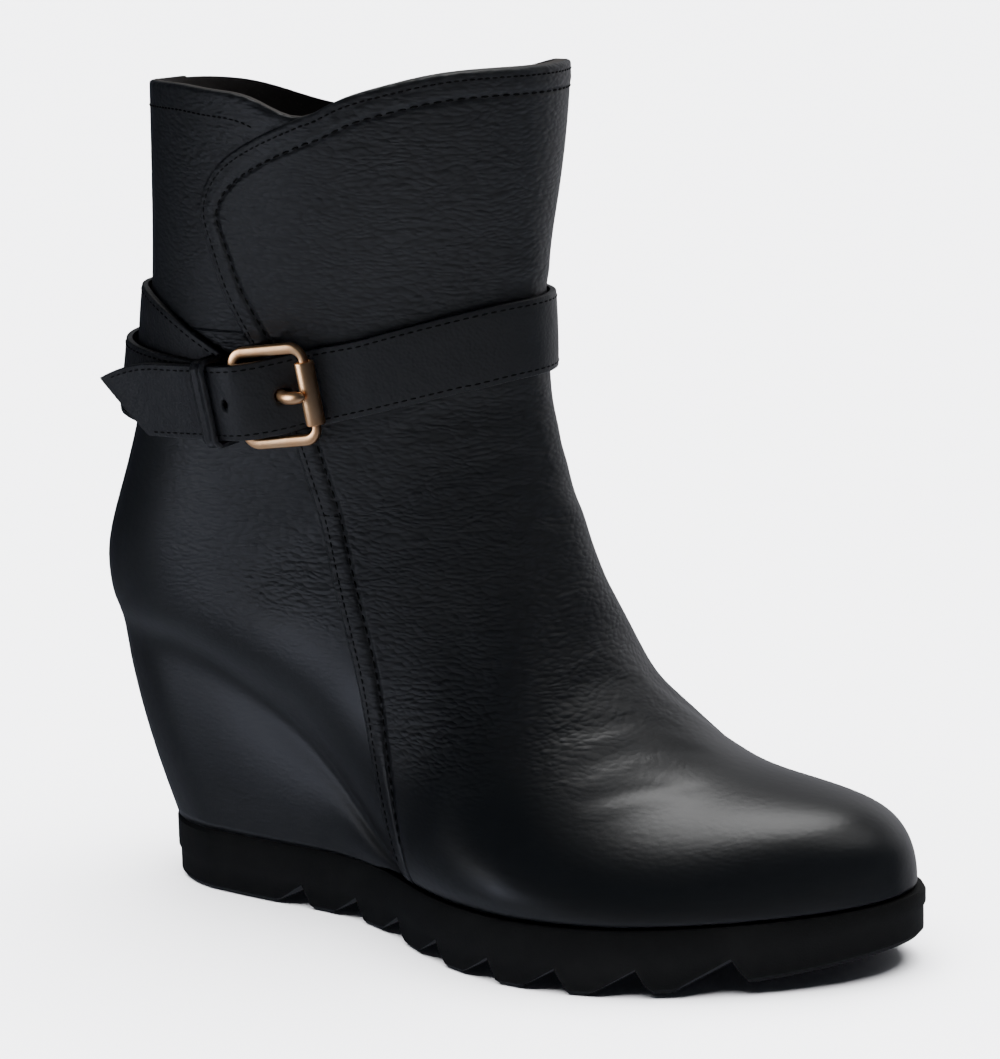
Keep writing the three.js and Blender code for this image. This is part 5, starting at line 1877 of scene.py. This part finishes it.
@dataclass
class Buckle:
    """Roller buckle: rounded frame, free roller on its front bar and a prong on its hidden bar."""

    finish: bpy.types.Material
    length: float = 23.5
    across: float = 27.0
    corner: float = 5.0
    rim: float = 2.9
    wall: float = 2.4
    gap: float = 0.3
    roller_radius: float = 2.5
    roller_wall: float = 0.7
    roller_edge: float = 0.45
    frame_power: float = 0.62
    prong_radius: float = 1.0
    prong_swell: float = 0.70
    swell_end: float = 0.6
    tip_start: float = 0.86
    tip_length: float = 0.14
    tip_least: float = 0.0025
    rod_flatness: float = 0.88

    @property
    def bar(self) -> float:
        """Width of the bar under the roller."""
        return 2 * (self.roller_radius - self.roller_wall - self.gap) / math.sqrt(2)

    def build(self) -> list[bpy.types.Object]:
        """Make frame, roller and prong."""
        return [self.build_frame(), self.build_roller(), self.build_prong()]

    def build_frame(self) -> bpy.types.Object:
        """Sweep the frame's section round a rounded rectangle."""
        left = -(self.length - self.rim) / 2
        right = self.length / 2 - self.bar / 2
        high = (self.across - self.rim) / 2
        radius = self.corner - self.rim / 2
        path = []
        for x, y, start in ((right - radius, -high + radius, -90), (right - radius, high - radius, 0),
                            (left + radius, high - radius, 90), (left + radius, -high + radius, 180)):
            for turn in np.radians(np.linspace(start, start + 90, 9)):
                path.append((x + radius * math.cos(turn), y + radius * math.sin(turn), turn))
        grid = []
        side = np.linspace(0, math.tau, 20, endpoint=False)
        for x, y, turn in path:
            front = max(math.cos(turn), 0.0) ** 2
            half = (self.rim + (self.bar - self.rim) * front) / 2
            thick = (self.wall + (self.bar - self.wall) * front) / 2
            u = np.sign(np.cos(side)) * np.abs(np.cos(side)) ** self.frame_power * half
            h = np.sign(np.sin(side)) * np.abs(np.sin(side)) ** self.frame_power * thick
            grid.append(np.stack([x + u * math.cos(turn), y + u * math.sin(turn), h], axis=1))
        grid = np.array(grid)
        grid = np.concatenate([grid, grid[:1]])
        faces = Grid(grid, closed=True).faces()
        piece = make_piece("frame_casting", AXES.place(grid.reshape(-1, 3)), faces, self.finish,
                           outward=True, sharp=50)
        settle_piece(piece, "buckle_frame", "buckle_frame")
        return piece

    def lathe(self, name: str, profile: list[tuple[float, float]], x: float) -> bpy.types.Object:
        """Turn a closed profile round a bar.

        Args:
            name: the piece's name.
            profile: radii and places across.
            x: place of the bar.

        Returns:
            The piece.
        """
        turn = np.linspace(0, math.tau, 37)
        grid = np.array([[(x + radius * math.cos(a), y, radius * math.sin(a)) for radius, y in profile]
                         for a in turn])
        faces = Grid(grid, closed=True).faces()
        return make_piece(name, AXES.place(grid.reshape(-1, 3)), faces, self.finish, outward=True, sharp=50)

    def build_roller(self) -> bpy.types.Object:
        """Make the roller with rolled-in ends."""
        half = self.across / 2 - self.rim - self.gap - 0.4 * self.corner
        bore, full, soft = self.roller_radius - self.roller_wall, self.roller_radius, self.roller_edge
        edge = [(full - soft * (1 - math.cos(a)), half - soft * (1 - math.sin(a)))
                for a in np.linspace(0, math.pi / 2, 6)]
        profile = [(bore, -half)] + [(r, -y) for r, y in edge[::-1]] + edge + [(bore, half)]
        piece = self.lathe("roller_tube", profile, self.length / 2 - self.bar / 2)
        settle_piece(piece, "buckle_roller", "buckle_roller")
        return piece

    def build_prong(self) -> bpy.types.Object:
        """Make the prong's eye and its rod, joined in one body."""
        bar = -(self.length - self.rim) / 2
        bore = self.rim / 2 + 2 * self.gap
        r = self.prong_radius
        turn = np.linspace(0, math.tau, 12, endpoint=False)
        eye = [(bore + r / 2 + r / 2 * math.cos(a), r * 0.95 * math.sin(a)) for a in turn]
        ring = np.linspace(0, math.tau, 33)
        grid = np.array([[(bar + radius * math.cos(a), y, radius * math.sin(a)) for radius, y in eye]
                         for a in ring])
        faces = Grid(grid, closed=True).faces()
        top = self.roller_radius + self.gap + r
        roller = self.length / 2 - self.bar / 2
        # Share of the rod's run, place along the strap, rise over the bars
        knots = np.array([
            (0.0, bar + bore + 0.3, 0.0), (0.22, -5.0, -0.4), (0.45, -0.6, -0.75), (0.62, 2.6, 0.4),
            (0.80, 6.0, top - 0.25), (0.92, roller - 1.2, top + 0.45), (1.0, roller + 0.9, top + 0.2)])
        share = np.linspace(0, 1, 40)
        x = Spline(knots[:, 0], knots[:, 1])(share)
        z = Spline(knots[:, 0], knots[:, 2])(share)
        slope = np.arctan2(np.gradient(z), np.gradient(x))
        round_turn = np.linspace(0, math.tau, 14, endpoint=False)
        rod = []
        for k in range(len(share)):
            radius = r * (1.0 + self.prong_swell * min(share[k] / self.swell_end, 1.0))
            tip = max(share[k] - self.tip_start, 0) / self.tip_length
            radius *= math.sqrt(max(1 - tip ** 2, self.tip_least))
            u = radius * np.cos(round_turn)
            h = radius * self.rod_flatness * np.sin(round_turn)
            rod.append(np.stack([x[k] - h * math.sin(slope[k]), u, z[k] + h * math.cos(slope[k])], axis=1))
        rod = np.array(rod)
        first = grid.shape[0] * grid.shape[1]
        wide = rod.shape[1]
        faces += Grid(rod, closed=True).faces(first)
        last = first + (rod.shape[0] - 1) * wide
        faces += [tuple(range(first + wide - 1, first - 1, -1)), tuple(range(last, last + wide))]
        cloud = np.concatenate([grid.reshape(-1, 3), rod.reshape(-1, 3)])
        piece = make_piece("prong_pin", AXES.place(cloud), faces, self.finish, outward=True, sharp=50)
        settle_piece(piece, "buckle_prong", "buckle_prong")
        return piece


@dataclass
class StitchRow:
    """Places of one row's stitches with their directions."""

    places: np.ndarray
    along: np.ndarray
    out: np.ndarray


@dataclass
class StitchWork:
    """All stitches of one size as a Geometry Nodes tree over their places, baked to one mesh."""

    name: str
    finish: bpy.types.Material
    slot: str
    length: float
    thread: float
    rows: list[StitchRow] = field(default_factory=list)

    def add_line(self, points: np.ndarray, normal: np.ndarray, pitch: float, margin: float = 1.5) -> None:
        """Lay a row of stitches along a line.

        Args:
            points: the line on the surface.
            normal: the surface's normals along it.
            pitch: distance from stitch to stitch.
            margin: length left free at the ends.
        """
        places, along = along_line(points, pitch, margin)
        near = ((places[:, None] - points) ** 2).sum(axis=2).argmin(axis=1)
        self.rows.append(StitchRow(places, along, normal[near]))

    def tree(self) -> bpy.types.GeometryNodeTree:
        """Build the tree: one soft stitch, turned and placed at each point."""
        tree = bpy.data.node_groups.new(self.name + "_stitches", "GeometryNodeTree")
        face = tree.interface
        face.new_socket("Geometry", in_out="INPUT", socket_type="NodeSocketGeometry")
        for label in ("Stitch length", "Thread width"):
            face.new_socket(label, in_out="INPUT", socket_type="NodeSocketFloat")
        face.new_socket("Geometry", in_out="OUTPUT", socket_type="NodeSocketGeometry")
        source = add_node(tree, "NodeGroupInput")
        ball = add_node(tree, "GeometryNodeMeshUVSphere", {}, {"Segments": 8, "Rings": 5, "Radius": 0.5})
        flat = math_node(tree, "MULTIPLY", source.outputs["Thread width"], 0.8)
        size = add_node(tree, "ShaderNodeCombineXYZ", {}, {
            0: source.outputs["Stitch length"], 1: source.outputs["Thread width"], 2: flat})
        lying = add_node(tree, "GeometryNodeTransform", {}, {
            "Geometry": add_node(tree, "GeometryNodeTransform", {}, {
                "Geometry": ball.outputs["Mesh"], "Rotation": (0.0, math.pi / 2, 0.0)}).outputs[0],
            "Scale": size.outputs[0]})
        turns = []
        for key, axis in (("along", "X"), ("out", "Z")):
            vector = add_node(tree, "GeometryNodeInputNamedAttribute", {"data_type": "FLOAT_VECTOR"},
                              {"Name": key})
            sockets = {"Vector": vector.outputs["Attribute"]}
            settings = {"axis": axis}
            if turns:
                sockets["Rotation"] = turns[-1].outputs["Rotation"]
                settings["pivot_axis"] = "X"
            turns.append(add_node(tree, "FunctionNodeAlignRotationToVector", settings, sockets))
        spread = add_node(tree, "GeometryNodeInstanceOnPoints", {}, {
            "Points": source.outputs["Geometry"], "Instance": lying.outputs["Geometry"],
            "Rotation": turns[-1].outputs["Rotation"]})
        real = add_node(tree, "GeometryNodeRealizeInstances", {}, {"Geometry": spread.outputs[0]})
        smooth = add_node(tree, "GeometryNodeSetShadeSmooth", {}, {"Geometry": real.outputs[0]})
        dressed = add_node(tree, "GeometryNodeSetMaterial", {}, {
            "Geometry": smooth.outputs[0], "Material": self.finish})
        add_node(tree, "NodeGroupOutput", {}, {"Geometry": dressed.outputs[0]})
        return tree

    def build(self) -> bpy.types.Object:
        """Place the stitches and bake them to a plain mesh."""
        places = np.concatenate([row.places for row in self.rows])
        mesh = bpy.data.meshes.new(self.name)
        mesh.from_pydata(row_frame(places).tolist(), [], [])
        for key in ("along", "out"):
            layer = mesh.attributes.new(key, "FLOAT_VECTOR", "POINT")
            values = np.concatenate([getattr(row, key) for row in self.rows])
            layer.data.foreach_set("vector", values.astype(np.float32).ravel())
        piece = bpy.data.objects.new(self.name, mesh)
        bpy.context.collection.objects.link(piece)
        nodes = piece.modifiers.new("stitches", "NODES")
        nodes.node_group = self.tree()
        sizes = {"Stitch length": self.length * MM, "Thread width": self.thread * MM}
        for item in nodes.node_group.interface.items_tree:
            if item.name in sizes:
                nodes[item.identifier] = sizes[item.name]
        bake_modifiers(piece)
        settle_piece(piece, self.slot)
        log.info("%s: %d stitches", self.name, len(places))
        return piece


@dataclass
class Studio:
    """White sweep, soft lights and the photo's camera."""

    paper: bpy.types.Material
    gold: list[bpy.types.Object]
    floor_size: float = 30.0

    def build(self) -> None:
        """Set up floor, lights, world and camera."""
        half = self.floor_size / 2
        mesh = bpy.data.meshes.new("paper_floor")
        mesh.from_pydata([(-half, -half, 0), (half, -half, 0), (half, half, 0), (-half, half, 0)],
                         [], [(0, 1, 2, 3)])
        mesh.materials.append(self.paper)
        floor = bpy.data.objects.new("paper_floor", mesh)
        bpy.context.collection.objects.link(floor)
        floor.visible_glossy = False
        flood = self.silk("sweep_flood", (-0.10, 0.05, 1.0), 80.0, 20.0)
        flood.light_linking.receiver_collection = self.gather("sweep", [floor])
        self.silk("ceiling_silk", (-0.18, 0.33, 0.93), 32.0, 1.30)
        self.silk("wide_silk", (0.10, 0.62, 0.78), 84.0, 0.36)
        self.silk("side_silk", (0.42, 0.30, 0.86), 36.0, 0.27)
        self.light("window_box", (-0.84, -1.02, 0.16), 0.26, 0.24, 0.3)
        card = self.light("gold_card", (-0.80, -0.78, 0.14), 0.70, 0.70, 13.0)
        card.light_linking.receiver_collection = self.gather("gold_pieces", self.gold)
        self.world()
        self.camera()

    @staticmethod
    def gather(name: str, objects: list[bpy.types.Object]) -> bpy.types.Collection:
        """List the objects that a light is meant for.

        Args:
            name: the collection's name.
            objects: the objects.

        Returns:
            The collection.
        """
        group = bpy.data.collections.new(name)
        for item in objects:
            group.objects.link(item)
        return group

    @staticmethod
    def world() -> None:
        """Fill the room: dim walls, bright backdrop, the floor's glow and a window's glare."""
        world = bpy.data.worlds.new("dim_room")
        world.use_nodes = True
        tree = world.node_tree
        sky = tree.nodes["Background"]
        place = add_node(tree, "ShaderNodeTexCoord").outputs["Generated"]
        split = add_node(tree, "ShaderNodeSeparateXYZ", {}, {0: place})
        floor = add_node(tree, "ShaderNodeMapRange", {"interpolation_type": "SMOOTHSTEP"}, {
            "Value": split.outputs["Z"], "From Min": -0.95, "From Max": -0.05, "To Min": 1.0, "To Max": 0.0})
        glow = add_node(tree, "ShaderNodeMix", {"data_type": "RGBA"}, {
            0: floor.outputs[0], 6: ROOM_LIGHT, 7: FLOOR_GLOW})
        back = add_node(tree, "ShaderNodeMapRange", {"interpolation_type": "SMOOTHSTEP"}, {
            "Value": split.outputs["Y"], "From Min": 0.70, "From Max": 1.0})
        lit = add_node(tree, "ShaderNodeMix", {"data_type": "RGBA"}, {
            0: back.outputs[0], 6: glow.outputs[2], 7: BACKDROP_LIGHT})
        aside = add_node(tree, "ShaderNodeVectorMath", {"operation": "DOT_PRODUCT"}, {
            0: place, 1: tuple(Vector(GLARE_TOWARD).normalized())})
        glare = add_node(tree, "ShaderNodeMapRange", {"interpolation_type": "SMOOTHSTEP"}, {
            "Value": aside.outputs["Value"], "From Min": 0.970, "From Max": 0.995})
        full = add_node(tree, "ShaderNodeMix", {"data_type": "RGBA"}, {
            0: glare.outputs[0], 6: lit.outputs[2], 7: GLARE_LIGHT})
        tree.links.new(full.outputs[2], sky.inputs["Color"])
        bpy.context.scene.world = world

    @staticmethod
    def silk(name: str, toward: tuple[float, float, float], spread: float, power: float) -> bpy.types.Object:
        """Hang a wide overhead silk, far enough to light the floor evenly.

        Args:
            name: the light's name.
            toward: direction from the boot to its middle.
            spread: angle in degrees that it covers.
            power: its strength.

        Returns:
            The light.
        """
        data = bpy.data.lights.new(name, "SUN")
        data.angle, data.energy = math.radians(spread), power
        silk = bpy.data.objects.new(name, data)
        silk.matrix_world = Vector(toward).to_track_quat("Z", "Y").to_matrix().to_4x4()
        bpy.context.collection.objects.link(silk)
        return silk

    @staticmethod
    def light(name: str, place: tuple[float, float, float], wide: float, high: float,
              power: float) -> bpy.types.Object:
        """Hang a rectangular soft box aimed at the boot.

        Args:
            name: the light's name.
            place: its place in metres.
            wide: its width.
            high: its height.
            power: its power in watts.

        Returns:
            The light.
        """
        data = bpy.data.lights.new(name, "AREA")
        data.shape = "RECTANGLE"
        data.size, data.size_y, data.energy = wide, high, power
        box = bpy.data.objects.new(name, data)
        aim = Vector(LIGHT_AIM) - Vector(place)
        box.matrix_world = Matrix.Translation(place) @ aim.to_track_quat("-Z", "Y").to_matrix().to_4x4()
        bpy.context.collection.objects.link(box)
        return box

    @staticmethod
    def camera() -> None:
        """Set the camera at the photo's angle, distance and roll."""
        turn, rise = math.radians(CAMERA_TURN), math.radians(CAMERA_RISE)
        away = Vector((math.sin(turn) * math.cos(rise), -math.cos(turn) * math.cos(rise), math.sin(rise)))
        aim = Vector(row_frame(np.array(CAMERA_AIM)).tolist())
        forward = -away
        right = forward.cross(Vector((0, 0, 1))).normalized()
        up = right.cross(forward)
        c, s = math.cos(math.radians(CAMERA_ROLL)), math.sin(math.radians(CAMERA_ROLL))
        side, top = right * c + up * s, up * c - right * s
        basis = Matrix((side, top, away)).transposed().to_4x4()
        data = bpy.data.cameras.new("photo_camera")
        data.sensor_width = SENSOR
        data.lens = CAMERA_FOCAL_PX * SENSOR / PHOTO_HIGH
        data.clip_end = CLIP_END
        camera = bpy.data.objects.new("photo_camera", data)
        camera.matrix_world = Matrix.Translation(aim + away * (CAMERA_AWAY * MM)) @ basis
        bpy.context.collection.objects.link(camera)
        bpy.context.scene.camera = camera


# Folds worn into the instep, the ankle and the ball
CREASES = (
    Crease((9.60, 0.310), (9.05, 0.600), 6.5, 0.45, 0.12),
    Crease((9.10, 0.360), (8.60, 0.520), 2.0, 0.15, -0.06),
    Crease((8.89, 0.342), (8.15, 0.512), 2.4, 0.24, 0.08),
    Crease((8.56, 0.295), (7.60, 0.440), 2.1, 0.22, -0.08),
    Crease((8.00, 0.330), (7.10, 0.500), 2.0, 0.18, 0.10),
    Crease((7.69, 0.285), (6.45, 0.489), 2.4, 0.24, 0.09),
    Crease((7.28, 0.249), (5.90, 0.390), 2.2, 0.18, 0.06),
    Crease((8.30, 0.560), (6.90, 0.700), 3.2, 0.34, -0.08),
    Crease((15.56, 0.353), (14.32, 0.507), 3.2, 0.30, 0.12),
    Crease((13.57, 0.354), (13.28, 0.517), 2.7, 0.28, -0.10),
    Crease((12.91, 0.372), (12.54, 0.526), 2.3, 0.24, 0.08),
    Crease((12.08, 0.349), (11.21, 0.510), 2.6, 0.22, 0.10),
    Crease((13.40, 0.560), (12.60, 0.700), 3.0, 0.30, 0.10),
    Crease((11.30, 0.277), (9.10, 0.229), 7.5, 0.50),
    Crease((12.60, 0.215), (12.46, 0.315), 3.6, 0.30, 0.16),
    Crease((18.91, 0.430), (18.46, 0.570), 3.0, 0.35, -0.10),
)

# Height of the bar tack that joins the two rows on the outer side
TACK_HEIGHT = 107.5

# Distance from stitch to stitch in each kind of row, and how far the thread stands off the leather
FINE_PITCH = 2.0
COARSE_PITCH = 3.0
STRAP_PITCH = 2.4
TACK_PITCH = 0.9
THREAD_LIFT = 0.05


def dress_insole(finish: bpy.types.Material) -> None:
    """Give the CAD insole the lining's leather."""
    insole = bpy.data.objects["insole"]
    insole.data.materials.clear()
    insole.data.materials.append(finish)


def sew_upper(panel: FrontPanel, rear: RearSkin, thread: bpy.types.Material) -> None:
    """Sew the front panel's two rows, the bar tack between them and the rear panel's row.

    Args:
        panel: the front panel.
        rear: the rear panel.
        thread: the thread's material.
    """
    fine = StitchWork("edge_stitching", thread, "upper", length=1.5, thread=0.5)
    coarse = StitchWork("inner_stitching", thread, "upper", length=2.2, thread=0.62)
    tack, out = [], []
    for work, inset, pitch in zip((fine, coarse), panel.rows_inset, (FINE_PITCH, COARSE_PITCH)):
        points, normal = panel.offset_row(inset)
        work.add_line(points, normal, pitch)
        outside = np.where(points[:, 1] < 0, np.abs(points[:, 2] - TACK_HEIGHT), np.inf).argmin()
        tack.append(points[outside])
        out.append(normal[outside])
        if work is fine:
            points, normal = rear.collar_row(rear.row_inset)
            work.add_line(points + THREAD_LIFT * normal, normal, pitch)
    fine.add_line(np.linspace(tack[0], tack[1], 9), np.linspace(out[0], out[1], 9), TACK_PITCH, margin=0.0)
    for work in (fine, coarse):
        work.build()


def sew_straps(straps: Straps, thread: bpy.types.Material) -> None:
    """Sew a row along both edges of each strap.

    Args:
        straps: the straps.
        thread: the thread's material.
    """
    work = StitchWork("strap_stitching", thread, "ankle_strap", length=1.7, thread=0.5)
    for band in straps.bands:
        for from_low in (True, False):
            line = band.row(straps.stitch_inset, straps.wall + THREAD_LIFT, from_low)
            work.add_line(line, band.out, STRAP_PITCH, margin=3.0)
    work.build()


def main() -> None:
    """Build the boot's pieces and the studio in order."""
    logging.basicConfig(level=logging.INFO, format="%(name)s %(message)s")
    leather = BootLeather().material()
    strap_leather = StrapLeather().material()
    lining = LiningLeather().material()
    rubber = SoleRubber().material()
    brass = RoseBrass().material()
    thread = BondedThread().material()
    panel = FrontPanel(leather, creases=CREASES)
    panel.build()
    rear = RearSkin(leather)
    rear.build()
    Lining(lining).build()
    Outsole(rubber).build()
    dress_insole(lining)
    straps = Straps(strap_leather)
    straps.build()
    gold = Buckle(brass).build()
    sew_upper(panel, rear, thread)
    sew_straps(straps, thread)
    Studio(PaperSweep().material(), gold).build()


if __name__ == "__main__":
    main()
